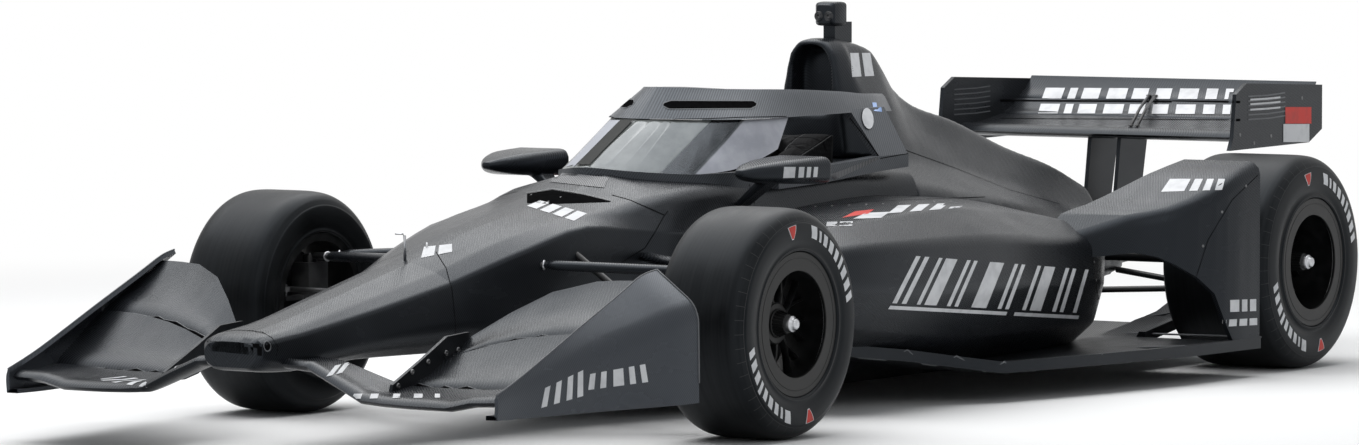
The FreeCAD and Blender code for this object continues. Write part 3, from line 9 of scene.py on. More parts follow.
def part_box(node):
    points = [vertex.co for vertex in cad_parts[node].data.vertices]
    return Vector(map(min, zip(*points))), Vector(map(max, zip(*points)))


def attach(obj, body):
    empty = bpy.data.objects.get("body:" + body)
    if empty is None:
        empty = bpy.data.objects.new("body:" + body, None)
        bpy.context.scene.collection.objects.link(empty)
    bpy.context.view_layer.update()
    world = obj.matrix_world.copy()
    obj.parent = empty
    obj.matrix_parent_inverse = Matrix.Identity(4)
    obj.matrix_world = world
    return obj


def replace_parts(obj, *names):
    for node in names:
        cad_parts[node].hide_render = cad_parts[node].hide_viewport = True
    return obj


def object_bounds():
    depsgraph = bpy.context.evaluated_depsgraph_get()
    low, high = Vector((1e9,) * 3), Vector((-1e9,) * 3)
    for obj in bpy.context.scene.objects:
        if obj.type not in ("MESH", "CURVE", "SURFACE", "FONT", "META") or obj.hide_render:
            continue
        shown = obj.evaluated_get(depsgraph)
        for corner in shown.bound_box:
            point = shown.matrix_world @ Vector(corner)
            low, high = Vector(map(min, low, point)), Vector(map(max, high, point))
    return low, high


# The looks of an open wheel racing car, in metres: +X forward, +Y left, +Z up.

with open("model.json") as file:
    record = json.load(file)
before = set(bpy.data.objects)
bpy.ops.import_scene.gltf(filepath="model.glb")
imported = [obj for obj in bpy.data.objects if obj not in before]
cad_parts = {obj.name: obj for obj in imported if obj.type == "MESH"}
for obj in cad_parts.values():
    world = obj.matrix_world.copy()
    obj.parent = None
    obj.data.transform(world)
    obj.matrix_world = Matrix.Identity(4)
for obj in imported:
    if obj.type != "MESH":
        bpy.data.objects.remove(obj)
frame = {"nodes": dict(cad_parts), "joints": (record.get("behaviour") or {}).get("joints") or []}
CAD_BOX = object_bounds()
NODES = frame["nodes"]
JOINTS = {joint["name"]: joint for joint in frame["joints"]}
FRONT_HUB = Vector(JOINTS["spin_front_left"]["pos_m"])
REAR_HUB = Vector(JOINTS["spin_rear_left"]["pos_m"])
DOWN = Vector((0, 0, -1))
UP = Vector((0, 0, 1))
LEFT = Vector((0, 1, 0))
AHEAD = Vector((1, 0, 0))
SIDES = (("left", 1), ("right", -1))
# Rays that look for a surface from outside it start this far away
CLEAR = 0.2


def at(ahead, y, z):
    """A place by its distance ahead of the front axle."""
    return Vector((FRONT_HUB.x + ahead, y, z))


def other_side(spot):
    """The same place on the car's right."""
    return Vector((spot[0], -spot[1], spot[2]))


def held(spot, box):
    """The place inside a box that is nearest to a spot."""
    low, high = box
    return [min(max(spot[axis], low[axis]), high[axis]) for axis in range(3)]


# The photograph's view: its place, its way, and its focal length in cells of a 1359 wide picture

EYE = at(15.9228, 11.0288, 1.6842)
HEADING, DIP = 3.7227, 0.0567
LOOK = Vector((math.cos(HEADING) * math.cos(DIP), math.sin(HEADING) * math.cos(DIP), -math.sin(DIP)))
TO_RIGHT = LOOK.cross(UP).normalized()
TO_TOP = TO_RIGHT.cross(LOOK)
FOCAL = 6705.18
MIDDLE = (679.5, 222.5)
SENSOR_MM, LENS_MM, FARTHEST = 36, 177.62, 400


def sight(across, down):
    """The way from the camera through a place in the photograph."""
    right = TO_RIGHT * ((across - MIDDLE[0]) / FOCAL)
    top = TO_TOP * ((MIDDLE[1] - down) / FOCAL)
    return (LOOK + right + top).normalized()


# Finishes


class Amount:
    """A number in a finish, which Python's operators turn into Math nodes."""

    def __init__(self, finish, socket):
        self.finish = finish
        self.socket = socket

    def maths(self, operation, *numbers):
        """The result of a Math node."""
        return self.finish.node("ShaderNodeMath", {"operation": operation}, dict(enumerate(numbers)))

    def __add__(self, other):
        return self.maths("ADD", self, other)

    def __sub__(self, other):
        return self.maths("SUBTRACT", self, other)

    def __rsub__(self, other):
        return self.maths("SUBTRACT", other, self)

    def __mul__(self, other):
        return self.maths("MULTIPLY", self, other)

    def __truediv__(self, other):
        return self.maths("DIVIDE", self, other)

    def __gt__(self, other):
        return self.maths("GREATER_THAN", self, other)

    def size(self):
        """The number without its sign."""
        return self.maths("ABSOLUTE", self)

    def whole(self):
        """The number rounded down."""
        return self.maths("FLOOR", self)

    def rest(self):
        """What is left after rounding down."""
        return self.maths("FRACT", self)

    def fold(self):
        """How far the number is from the middle between two whole ones: 0 to 0.5."""
        return (self.rest() - 0.5).size()

    def wave(self):
        """A sine wave that runs from 0 to 1."""
        return self.maths("SINE", self) * 0.5 + 0.5

    def between(self, low, high):
        """0 at low, 1 at high, smooth between."""
        values = {"Value": self, "From Min": low, "From Max": high}
        return self.finish.node("ShaderNodeMapRange", {"interpolation_type": "SMOOTHSTEP"}, values)


class Finish:
    """A material made of nodes round one Principled shader."""

    SOCKETS = {"Base": "Base Color", "Specular": "Specular IOR Level", "Tint": "Specular Tint"}

    def __init__(self, name, slot, **fixed):
        self.material = bpy.data.materials.new(name)
        self.material.use_nodes = True
        self.slot = slot
        self.tree = self.material.node_tree
        self.tree.nodes.clear()
        self.output = self.tree.nodes.new("ShaderNodeOutputMaterial")
        self.shader = self.tree.nodes.new("ShaderNodeBsdfPrincipled")
        self.tree.links.new(self.shader.outputs[0], self.output.inputs[0])
        for key, value in fixed.items():
            self.set(key, value)
        self.place = self.node("ShaderNodeTexCoord", {}, {}, "Object")
        parts = self.tree.nodes.new("ShaderNodeSeparateXYZ")
        self.tree.links.new(self.place.socket, parts.inputs[0])
        self.x, self.y, self.z = [Amount(self, socket) for socket in parts.outputs]

    def node(self, kind, settings, inputs, output=0):
        """A node: its settings first, then the values or links of its sockets."""
        made = self.tree.nodes.new(kind)
        for key, value in settings.items():
            setattr(made, key, value)
        for key, value in inputs.items():
            self.feed(made.inputs[key], value)
        return Amount(self, made.outputs[output])

    def feed(self, socket, value):
        """Gives a socket a link, a number, or a colour without its fourth number."""
        if isinstance(value, Amount):
            self.tree.links.new(value.socket, socket)
            return
        if hasattr(socket.default_value, "__len__") and not hasattr(value, "__len__"):
            value = (value,) * len(socket.default_value)
        if hasattr(value, "__len__") and len(value) == 3 and len(socket.default_value) == 4:
            value = (*value, 1)
        socket.default_value = value

    def set(self, name, value):
        """A value or a link on the shader itself."""
        self.feed(self.shader.inputs[self.SOCKETS.get(name, name)], value)

    def noise(self, scale, detail=3, stretch=None):
        """Soft random patches, as a number about 0.5."""
        where = self.place
        if stretch:
            where = self.node("ShaderNodeVectorMath", {"operation": "MULTIPLY"}, {0: where, 1: stretch})
        return self.node("ShaderNodeTexNoise", {}, {"Vector": where, "Scale": scale, "Detail": detail})

    def reach(self):
        """The distance from the origin of the piece."""
        return self.node("ShaderNodeVectorMath", {"operation": "LENGTH"}, {0: self.place}, "Value")

    def blend(self, share, first, second):
        """A colour between two."""
        return self.node("ShaderNodeMix", {"data_type": "RGBA"}, {0: share, 6: first, 7: second}, 2)

    def look(self, share, dark, light, roughness):
        """A colour between two, and the roughness."""
        self.set("Base", self.blend(share, dark, light))
        self.set("Roughness", roughness)

    def relief(self, height, depth, strength):
        """Small bumps on the surface; depth is in metres."""
        values = {"Height": height, "Distance": depth, "Strength": strength}
        self.set("Normal", self.node("ShaderNodeBump", {}, values))


COOL = (0.78, 0.88, 1.0)
TOW = 0.0024

# Bare carbon cloth: slot, dark and light colour, roughness, specular share and width of a tow
CARBONS = {
    "carbon_skin": ("carbon_skin", (0.003, 0.0034, 0.0042), (0.0155, 0.0172, 0.0205), 0.33, 0.26, TOW),
    # A lighter copy of carbon_skin: its lighter colours are painted sheen.
    "carbon_sheen": ("carbon_skin", (0.006, 0.0066, 0.008), (0.04, 0.0435, 0.052), 0.34, 0.5, TOW),
    "carbon_frame": ("frame_metal", (0.03, 0.0325, 0.036), (0.1, 0.106, 0.117), 0.4, 0.35, 0.003),
    "carbon_floor": ("carbon_floor", (0.003, 0.0033, 0.004), (0.014, 0.015, 0.017), 0.4, 0.26, TOW),
    "carbon_plain": ("carbon_structure", (0.003, 0.0033, 0.004), (0.0145, 0.0155, 0.018), 0.4, 0.26, TOW),
}

# Finishes that follow one noise: slot, fixed input, the noise, the span of it that makes the contrast,
# dark and light colour, and the roughness where the noise is 0 and where it is 1.
# DIRTY is a noise and MATT a span of roughness that several share.
DIRTY, MATT = (24, 4), (0.3, 0.6)
PLAINS = {
    "rim_black": (
        "rim_metal", ("Specular", 0.3), (30, 4), (0.35, 0.75),
        (0.0035, 0.0038, 0.004), (0.012, 0.0124, 0.013), (0.27, 0.57),
    ),
    "bright_steel": (
        "upright_metal", ("Metallic", 1), (60, 3, (1, 12, 1)), None,
        (0.42, 0.43, 0.45), (0.62, 0.63, 0.65), (0.24, 0.44),
    ),
    "dull_alloy": (
        "upright_metal", ("Metallic", 1), (14, 5), (0.35, 0.7),
        (0.12, 0.122, 0.127), (0.2, 0.202, 0.206), MATT,
    ),
    "leg_paint": (
        "link_metal", ("Specular", 0.5), (25, 4, (1, 3, 3)), None,
        (0.006, 0.0064, 0.007), (0.02, 0.0205, 0.022), (0.19, 0.49),
    ),
    "burnt_steel": (
        "casting_metal", ("Metallic", 1), (9, 4), (0.3, 0.7),
        (0.16, 0.12, 0.09), (0.36, 0.33, 0.3), (0.3, 0.5),
    ),
    "white_marks": (
        None, ("Specular", 0.35), DIRTY, (0.25, 0.6), (0.5, 0.51, 0.53), (0.63, 0.64, 0.66), MATT,
    ),
    "red_marks": (
        None, ("Specular", 0.35), DIRTY, (0.25, 0.6), (0.42, 0.02, 0.012), (0.58, 0.03, 0.02), MATT,
    ),
    "light_marks": (None, ("Specular", 0.35), DIRTY, None, (0.16, 0.26, 0.5), (0.26, 0.38, 0.62), MATT),
    # Black for seams, and for painted shade in openings, slots and wing gaps.
    "seam_black": (
        "carbon_structure", ("Specular", 0), (60, 2), None,
        (0.003, 0.003, 0.0033), (0.008, 0.008, 0.0085), (0.9, 1),
    ),
    "gloss_black": (
        "carbon_structure", ("Specular", 0.2), (50, 3), None,
        (0.0022, 0.0025, 0.0025), (0.006, 0.0066, 0.0066), (0.26, 0.46),
    ),
    "edge_grey": (
        "carbon_structure", ("Specular", 0.4), (40, 4), None,
        (0.06, 0.064, 0.07), (0.16, 0.168, 0.18), (0.4, 0.6),
    ),
    "mould_grey": (
        "tyre_rubber", ("Specular", 0.3), (80, 2), None,
        (0.03, 0.031, 0.033), (0.07, 0.071, 0.074), (0.6, 0.7),
    ),
    "mottled_grey": (
        "frame_metal", ("Specular", 0.12), (16, 2), None,
        (0.007, 0.0077, 0.0075), (0.026, 0.028, 0.027), (0.5, 0.7),
    ),
    "thread_grey": (
        "pad_foam", ("Specular", 0.3), (300, 2), None,
        (0.07, 0.072, 0.075), (0.16, 0.163, 0.168), (0.7, 0.8),
    ),
    # Pale grey for the painted reflection band on the windscreen.
    "pale_film": (
        "screen_glass", ("Specular", 0.3), (14, 4), None, (0.3, 0.315, 0.36), (0.42, 0.435, 0.48), MATT,
    ),
    "dark_glass": (
        "screen_glass", ("Specular", 0.5), (90, 3), None,
        (0.004, 0.005, 0.007), (0.012, 0.015, 0.02), (0.08, 0.18),
    ),
    "mirror_glass": (
        None, ("Metallic", 1), (40, 3), None, (0.6, 0.63, 0.66), (0.75, 0.78, 0.8), (0.03, 0.08),
    ),
}


def carbon(name, slot, dark, light, roughness, specular, tow):
    """Bare carbon twill under a satin lacquer."""
    made = Finish(name, slot, Specular=specular, Tint=COOL)
    u = made.x / tow
    v = (made.z - made.y.size()) / tow
    warp = ((u.whole() + v.whole()) / 4).rest() > 0.49
    ridge = v.fold() * warp + u.fold() * (1 - warp)
    cloud = made.noise(2.2, 5).between(0.3, 0.7)
    tone = warp * 0.6 + cloud * 0.28 + made.noise(38, 3) * 0.12
    smear = made.noise(5.5, 4, (1, 2.5, 2.5))
    made.look(tone, dark, light, smear * 0.2 + (roughness - 0.1) - warp * 0.08)
    made.relief(1 - ridge * 2, 0.0002, 0.4)
    return made


def plain(name, slot, fixed, grain, span, dark, light, roughness):
    """A finish whose colour and roughness follow one noise."""
    made = Finish(name, slot, **{fixed[0]: fixed[1]})
    cloud = made.noise(*grain)
    tone = cloud.between(*span) if span else cloud
    made.look(tone, dark, light, cloud * (roughness[1] - roughness[0]) + roughness[0])
    return made


def slick_rubber(name):
    """Smooth slick rubber with faint bands round the tread."""
    made = Finish(name, "tyre_rubber", Specular=0.16, Tint=COOL)
    bands = made.noise(9, 4, (0.4, 14, 0.4))
    patches = made.noise(7, 4)
    tone = (bands * 0.5 + patches * 0.5).between(0.35, 0.65)
    colours = (0.0035, 0.0039, 0.0042), (0.0115, 0.0123, 0.0132)
    made.look(tone, *colours, patches * 0.25 + bands * 0.15 + 0.22)
    made.relief(made.noise(900, 2), 0.0004, 0.25)
    return made


def casting(name):
    """Dull grey cast metal."""
    colours = (0.07, 0.071, 0.075), (0.16, 0.16, 0.165)
    made = plain(name, "casting_metal", ("Metallic", 0.85), (8, 5), (0.3, 0.7), *colours, (0.35, 0.65))
    made.relief(made.noise(220, 3), 0.0006, 0.5)
    return made


def core_fins(name):
    """A radiator core: upright tubes with fine fins between."""
    made = Finish(name, "core_metal", Metallic=0.7, Roughness=0.5)
    tube_here = (made.y / 0.011).fold() > 0.36
    fin_here = (made.z / 0.0025).rest() > 0.45
    tone = tube_here * 0.8 + fin_here * 0.2 * (1 - tube_here)
    made.set("Base", made.blend(tone, (0.012, 0.012, 0.013), (0.2, 0.205, 0.21)))
    made.relief(tone, 0.002, 0.6)
    return made


# The screen's painted bands end where x ahead of the front axle and z times their lean add up to these
# values
PAINTED_BAND_LEAN = 1.86
FRONT_REFLECTION_EDGE = 0.832
PALE_EDGE = 0.722
PAINTED_BAND_FADE = 0.012
# How opaque the bare plastic is, and what the painted reflection and dust add to it
GLASS_ALPHA, PAINTED_REFLECTION_ALPHA, DUST_ALPHA = 0.8, 0.08, 0.04


def screen_glass(name):
    """Thick clear plastic: a painted grey reflection in front, a clear band at each side painted dark as
    shade, and a painted pale reflection behind it.
    """
    made = Finish(name, "screen_glass", Specular=0.5, Tint=COOL)
    tone = made.noise(9, 5, (1, 1.6, 1)).between(0.3, 0.7)
    lean = (made.x - FRONT_HUB.x) + made.z * PAINTED_BAND_LEAN
    behind_front = 1 - lean.between(FRONT_REFLECTION_EDGE - PAINTED_BAND_FADE, FRONT_REFLECTION_EDGE)
    behind_clear = 1 - lean.between(PALE_EDGE - PAINTED_BAND_FADE, PALE_EDGE)
    # The grey in front and the pale colour behind are painted reflection; the clear band's dark colour is
    # painted shade.
    front_painted_reflection = made.blend(tone, (0.13, 0.14, 0.138), (0.21, 0.222, 0.218))
    pale = made.blend(tone, (0.3, 0.31, 0.35), (0.42, 0.43, 0.475))
    clear = made.blend(tone, (0.012, 0.013, 0.014), (0.03, 0.032, 0.034))
    made.set("Base", made.blend(behind_clear, made.blend(behind_front, front_painted_reflection, clear), pale))
    made.set("Roughness", tone * 0.12 + 0.1)
    # Where the painted reflection lies, the glass is made more opaque.
    film = 1 - behind_front + behind_clear
    dust = made.noise(70, 3).between(0.52, 0.75)
    made.set("Alpha", film * PAINTED_REFLECTION_ALPHA + dust * DUST_ALPHA + GLASS_ALPHA)
    return made


def pad_cloth(name):
    """Dark fire-proof cloth over foam."""
    made = Finish(name, "pad_foam", Specular=0.05)
    threads = (made.x / 0.0016).wave() * ((made.z + made.y) / 0.0016).wave()
    crease = made.noise(16, 4)
    tone = threads * 0.5 + crease * 0.5
    made.look(tone, (0.004, 0.0042, 0.0046), (0.014, 0.0144, 0.0155), crease * 0.2 + 0.68)
    made.relief(threads + crease * 3, 0.0008, 0.5)
    return made


def belt_cloth(name):
    """Woven black belt with fine ribs."""
    made = Finish(name, "pad_foam", Specular=0.3)
    ribs = (made.y / 0.0022).wave()
    wear = made.noise(40, 4)
    tone = ribs * 0.4 + wear * 0.6
    made.look(tone, (0.012, 0.012, 0.013), (0.045, 0.046, 0.05), wear * 0.2 + 0.6)
    made.relief(ribs, 0.0006, 0.5)
    return made


def ribbed_grey(name):
    """Moulded shroud with close ribs."""
    made = Finish(name, "carbon_structure", Specular=0.35)
    ribs = (made.y / 0.0012).wave()
    wear = made.noise(30, 4)
    tone = ribs * 0.6 + wear * 0.4
    made.look(tone, (0.01, 0.0108, 0.012), (0.06, 0.063, 0.068), wear * 0.15 + 0.5)
    made.relief(ribs, 0.0015, 0.7)
    return made


def brake_grey(name):
    """A carbon brake disc: dark grey with fine rings."""
    made = Finish(name, "core_metal", Metallic=0.3, Specular=0.3)
    rings = (made.reach() * 900).wave()
    wear = made.noise(30, 4)
    tone = rings * 0.5 + wear * 0.5
    made.look(tone, (0.012, 0.012, 0.013), (0.04, 0.04, 0.042), wear * 0.3 + 0.4)
    return made


def wire_mesh(name):
    """Fine woven wire over a dark duct."""
    made = Finish(name, "frame_metal", Specular=0.4)
    pitch = 0.0085
    crossing = (((made.x + made.y) / pitch).fold() > 0.3) + (((made.x - made.y) / pitch).fold() > 0.3)
    wire = crossing.between(0.2, 0.8)
    made.look(wire, (0.006, 0.0065, 0.007), (0.16, 0.165, 0.175), 0.6 - wire * 0.2)
    made.relief(wire, 0.001, 0.6)
    return made


def red_lens(name):
    """A red lamp lens with small cells."""
    made = Finish(name, None, Specular=0.6)
    cell = (made.y / 0.008).fold() + (made.z / 0.008).fold()
    made.look(cell, (0.32, 0.008, 0.008), (0.12, 0.004, 0.004), cell * 0.15 + 0.15)
    made.relief(cell, 0.002, 0.6)
    return made


PATTERNED = {
    maker.__name__: maker
    for maker in (
        slick_rubber, casting, core_fins, screen_glass, pad_cloth, belt_cloth, ribbed_grey, brake_grey,
        wire_mesh, red_lens,
    )
}
FINISHES = {}


def finish_of(name):
    """The finish of this name, made once."""
    if name not in FINISHES:
        if name in CARBONS:
            FINISHES[name] = carbon(name, *CARBONS[name])
        elif name in PLAINS:
            FINISHES[name] = plain(name, *PLAINS[name])
        else:
            FINISHES[name] = PATTERNED[name](name)
    return FINISHES[name]


# Building blocks


def modify(thing, kind, **values):
    """Adds a modifier with its settings."""
    modifier = thing.modifiers.new(kind.lower(), kind)
    for key, value in values.items():
        setattr(modifier, key, value)
    return modifier


def applied(thing):
    """Keeps what a piece's modifiers make of it, and drops them."""
    view = bpy.context.evaluated_depsgraph_get()
    mesh = bpy.data.meshes.new_from_object(thing.evaluated_get(view))
    thing.modifiers.clear()
    thing.data = mesh


def linked(name, data):
    """A new object in the scene."""
    made = bpy.data.objects.new(name, data)
    bpy.context.scene.collection.objects.link(made)
    return made


def piece(name, body, finish, points, faces, smooth=True):
    """A mesh that rides on a body in one finish, kept inside the box of the CAD solids."""
    mesh = bpy.data.meshes.new(name)
    mesh.from_pydata([held(point, CAD_BOX) for point in points], [], faces)
    mesh.validate()
    mesh.update()
    made = linked(name, mesh)
    chosen = finish_of(finish)
    mesh.materials.append(chosen.material)
    if smooth:
        mesh.shade_smooth()
    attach(made, body)
    return made


class Sheet:
    """Points and faces gathered for one piece."""

    def __init__(self):
        self.points = []
        self.faces = []

    def add(self, points, faces):
        """Takes in more points and faces."""
        base = len(self.points)
        self.points += [Vector(point) for point in points]
        self.faces += [tuple(base + index for index in face) for face in faces]

    def both_sides(self):
        """Adds the mirror image of everything on the car's other side."""
        mirrored = [tuple(reversed(face)) for face in self.faces]
        self.add([other_side(point) for point in self.points], mirrored)

    def made(self, name, finish, body="chassis", smooth=True, twin=False):
        """The piece that holds it all; twin adds the mirror image first."""
        if twin:
            self.both_sides()
        return piece(name, body, finish, self.points, self.faces, smooth)


def grid_faces(rows, columns, closed_rows=False, closed_columns=False):
    """Four-sided faces between rows of points that lie one after another."""
    faces = []
    for row in range(rows if closed_rows else rows - 1):
        start, after = row * columns, (row + 1) % rows * columns
        for column in range(columns if closed_columns else columns - 1):
            beside = (column + 1) % columns
            faces.append((start + column, start + beside, after + beside, after + column))
    return faces


def circle(count):
    """Cosine and sine of evenly spread angles."""
    angles = [2 * math.pi * index / count for index in range(count)]
    return [(math.cos(angle), math.sin(angle)) for angle in angles]


def smooth_through(points, steps):
    """More points on a smooth curve through the given ones."""
    points = [Vector(point) for point in points]
    made = []
    for index, (start, end) in enumerate(zip(points[:-1], points[1:])):
        pull_start = (end - points[max(index - 1, 0)]) * 0.5
        pull_end = (points[min(index + 2, len(points) - 1)] - start) * 0.5
        for step in range(steps):
            part = step / steps
            rise = 3 * part ** 2 - 2 * part ** 3
            spot = start * (1 - rise) + end * rise
            spot += pull_start * (part ** 3 - 2 * part ** 2 + part) + pull_end * (part ** 3 - part ** 2)
            made.append(spot)
    return made + [points[-1]]


def direction(route, index):
    """The way of a route at one of its places."""
    return (route[min(index + 1, len(route) - 1)] - route[max(index - 1, 0)]).normalized()


def tube(route, radius, sides=14, ends=True, flat=1.0):
    """A tube along a route; radius may be a list. flat below 1 squashes it in height."""
    count = len(route)
    radii = radius if hasattr(radius, "__len__") else [radius] * count
    points = []
    for index, spot in enumerate(route):
        along = direction(route, index)
        across = along.cross(UP if abs(along.z) < 0.9 else AHEAD).normalized()
        rise = across.cross(along)
        for c, s in circle(sides):
            points.append(spot + (across * c + rise * (s * flat)) * radii[index])
    faces = [tuple(reversed(face)) for face in grid_faces(count, sides, False, True)]
    if ends:
        faces.append(tuple(range(sides)))
        faces.append(tuple(reversed(range((count - 1) * sides, count * sides))))
    return points, faces


def run_frames(run, width):
    """The places and normals of a run of such pairs, each with half the width as a way across."""
    places = [spot for spot, _ in run]
    for index, (spot, normal) in enumerate(run):
        yield spot, normal, direction(places, index).cross(normal).normalized() * (width / 2)


def ribbon(run, width, lift):
    """Points and faces of a flat strip through (place, normal) pairs."""
    points = []
    for spot, normal, across in run_frames(run, width):
        points += [spot - across + normal * lift, spot + across + normal * lift]
    return points, grid_faces(len(run), 2)


# Section of a woven strap: share of its half width, and 1 for its top or -1 for its underside
STRAP_SECTION = ((-1, 0), (-0.94, 1), (0.94, 1), (1, 0), (0.94, -1), (-0.94, -1))


def strap(run, width, thick):
    """Points and faces of a woven strap through (place, normal) pairs, with rounded edges."""
    points = []
    for spot, normal, across in run_frames(run, width):
        for share, rise in STRAP_SECTION:
            points.append(spot + across * share + normal * (thick * (rise + 1.2) / 2))
    corners = len(STRAP_SECTION)
    faces = grid_faces(len(run), corners, False, True)
    faces += [tuple(reversed(range(corners))), tuple(range(len(points) - corners, len(points)))]
    return points, faces


# A low round head: share of its radius, and of its height
HEAD_SECTION = ((1.0, -0.3), (1.0, 0.6), (0.8, 1.0), (0.25, 1.0), (0.2, 0.55))


def button(spot, normal, radius, height, sides=10):
    """A low round head with a rounded edge, standing on a place."""
    across = normal.orthogonal().normalized()
    other = normal.cross(across)
    points = []
    for share, rise in HEAD_SECTION:
        for c, s in circle(sides):
            points.append(spot + (across * c + other * s) * (radius * share) + normal * (rise * height))
    faces = grid_faces(len(HEAD_SECTION), sides, False, True)
    return points, faces + [tuple(range(len(points) - sides, len(points)))]


# Places round a thin ring and round its section
RING_STEPS, RING_SIDES = 24, 8


def ring_at(spot, normal, radius, thick):
    """A thin round ring lying on a surface."""
    across = normal.orthogonal().normalized()
    other = normal.cross(across)
    points = []
    for c, s in circle(RING_STEPS):
        out = across * c + other * s
        points += [spot + out * (radius + a * thick) + normal * (b * thick) for a, b in circle(RING_SIDES)]
    return points, grid_faces(RING_STEPS, RING_SIDES, True, True)


class Skin:
    """The outside of some CAD nodes or new pieces, to lay thin pieces on."""

    def __init__(self, *names):
        sheet = Sheet()
        for name in names:
            mesh = (NODES[name] if name in NODES else bpy.data.objects[name]).data
            sheet.add([vertex.co for vertex in mesh.vertices], [face.vertices for face in mesh.polygons])
        self.tree = BVHTree.FromPolygons(sheet.points, sheet.faces)

    def meet(self, start, way):
        """Where a line first meets the skin, and the skin's direction there."""
        spot, normal, _, _ = self.tree.ray_cast(start, way)
        if spot is None:
            return None, None
        return spot, -normal if normal.dot(way) > 0 else normal

    def seen(self, place):
        """What the camera sees at a place in the photograph."""
        return self.meet(EYE, sight(*place))


# Surfaces that thin pieces are laid on, by the CAD nodes or new pieces that form them
SURFACES = {
    "nose": ("nose_cone",),
    "front": ("nose_cone", "tub"),
    "cowl": ("tub", "screen_base_frame"),
    "frame": ("screen_upper_frame",),
    "glass": ("windscreen",),
    "rail": ("screen_upper_frame", "screen_base_frame", "tub"),
    "pods": ("sidepods", "cover_shell", "tub"),
    "guards": ("wheel_guards",),
    "mirrors": ("mirror_shells",),
    "hoop": ("cover_shell",),
    "plates": ("rear_wing_endplates",),
    "rear": ("rear_wing_flaps", "rear_wing_main_plane", "rear_wing_endplates"),
    "wing": ("front_wing_main_plane", "front_wing_lower_flaps", "front_wing_upper_flaps"),
    "ends": ("curved_endplates",),
    "adjusters": ("front_wing_adjusters",),
}
SKINS = {}


def skin_of(surface):
    """The skin of a surface, made once."""
    if surface not in SKINS:
        SKINS[surface] = Skin(*SURFACES[surface])
    return SKINS[surface]


# Ways to draw on a surface: each adds to a sheet, at places in the photograph. A face longer than the
# longest edge, or a strip that jumps farther, has left the surface for one behind it.
LONGEST_EDGE = 0.12
LONGEST_JUMP = 0.15


def longest_side(spots):
    """The length of the longest side of a closed outline."""
    return max((spots[index] - spots[index - 1]).length for index in range(len(spots)))


def patch(sheet, surface, corners, lift=0.0008, step=5.0):
    """A thin patch between four corners, in order round it."""
    skin = skin_of(surface)
    low_start, low_end, high_end, high_start = [Vector((*corner, 0)) for corner in corners]
    columns = max(1, math.ceil(max((low_end - low_start).length, (high_end - high_start).length) / step))
    rows = max(1, math.ceil(max((high_start - low_start).length, (high_end - low_end).length) / step))
    points = []
    for row in range(rows + 1):
        start = low_start.lerp(high_start, row / rows)
        end = low_end.lerp(high_end, row / rows)
        for column in range(columns + 1):
            spot, normal = skin.seen(start.lerp(end, column / columns).xy)
            points.append(None if spot is None else spot + normal * lift)
    kept = []
    for face in grid_faces(rows + 1, columns + 1):
        spots = [points[index] for index in face]
        if None in spots or longest_side(spots) > LONGEST_EDGE:
            continue
        normal = (spots[1] - spots[0]).cross(spots[3] - spots[0])
        kept.append(tuple(reversed(face)) if normal.dot(LOOK) > 0 else face)
    add_used(sheet, points, kept)


def add_used(sheet, points, faces):
    """Adds faces and only the points that they use."""
    places = {}
    for face in faces:
        for index in face:
            places.setdefault(index, len(places))
    sheet.add([points[index] for index in places], [[places[index] for index in face] for face in faces])


def strip(sheet, surface, route, width, lift=0.0007, spacing=4.0):
    """A narrow strip along a route."""
    skin = skin_of(surface)
    runs = [[]]
    last = None
    for (x0, y0), (x1, y1) in zip(route[:-1], route[1:]):
        count = max(1, math.ceil(math.hypot(x1 - x0, y1 - y0) / spacing))
        for share in [index / count for index in range(count + 1)]:
            spot, normal = skin.seen((x0 + (x1 - x0) * share, y0 + (y1 - y0) * share))
            if spot is None or (last and (spot - last).length < 1e-5):
                continue
            if last and (spot - last).length > LONGEST_JUMP:
                runs.append([])
            runs[-1].append((spot, normal))
            last = spot
    for run in runs:
        if len(run) > 1:
            sheet.add(*ribbon(run, width, lift))


def slats(sheet, surface, route, heights, width, lift):
    """Equal strips, one below another."""
    for height in heights:
        strip(sheet, surface, [(x, y + height) for x, y in route], width, lift)


def bars(sheet, surface, low, high, spans, lift=0.0008, step=5.0):
    """Slanted bars between a low and a high line; spans are shares of the lines."""
    for start, end in spans:
        ends = ((low, start), (low, end), (high, end), (high, start))
        corners = [[a + (b - a) * share for a, b in zip(*line)] for line, share in ends]
        patch(sheet, surface, corners, lift, step)


def dots(sheet, surface, places, radius, height=0.0015, sides=10):
    """Low round heads, such as fasteners."""
    for place in places:
        spot, normal = skin_of(surface).seen(place)
        if spot is not None:
            sheet.add(*button(spot, normal, radius, height, sides))


def round_lip(sheet, surface, place, radius, thick):
    """A thin ring round a place."""
    spot, normal = skin_of(surface).seen(place)
    if spot is not None:
        sheet.add(*ring_at(spot, normal, radius, thick))


def fan(sheet, surface, outline, lift=0.0009):
    """A small flat shape inside an outline."""
    middle = [sum(values) / len(outline) for values in zip(*outline)]
    found = [skin_of(surface).seen(place) for place in [middle] + list(outline)]
    if any(spot is None for spot, _ in found):
        return
    points = [spot + normal * lift for spot, normal in found]
    count = len(outline)
    faces = [(0, index + 1, (index + 1) % count + 1) for index in range(count)]
    if (points[1] - points[0]).cross(points[2] - points[0]).dot(LOOK) > 0:
        faces = [tuple(reversed(face)) for face in faces]
    sheet.add(points, faces)


def oval(middle, wide, tall, count=16, lean=0.0):
    """Places round an oval; lean moves its head sideways."""
    x, y = middle
    return [(x + c * wide - s * tall * lean, y + s * tall) for c, s in circle(count)]


def outermost(name, key, rank):
    """The vertices of a CAD node's left half that rank highest, one for each key."""
    best = {}
    for vertex in NODES[name].data.vertices:
        spot = vertex.co
        place = key(spot)
        if spot.y > 0 and (place not in best or rank(spot) > rank(best[place])):
            best[place] = spot.copy()
    return [best[place] for place in sorted(best)]


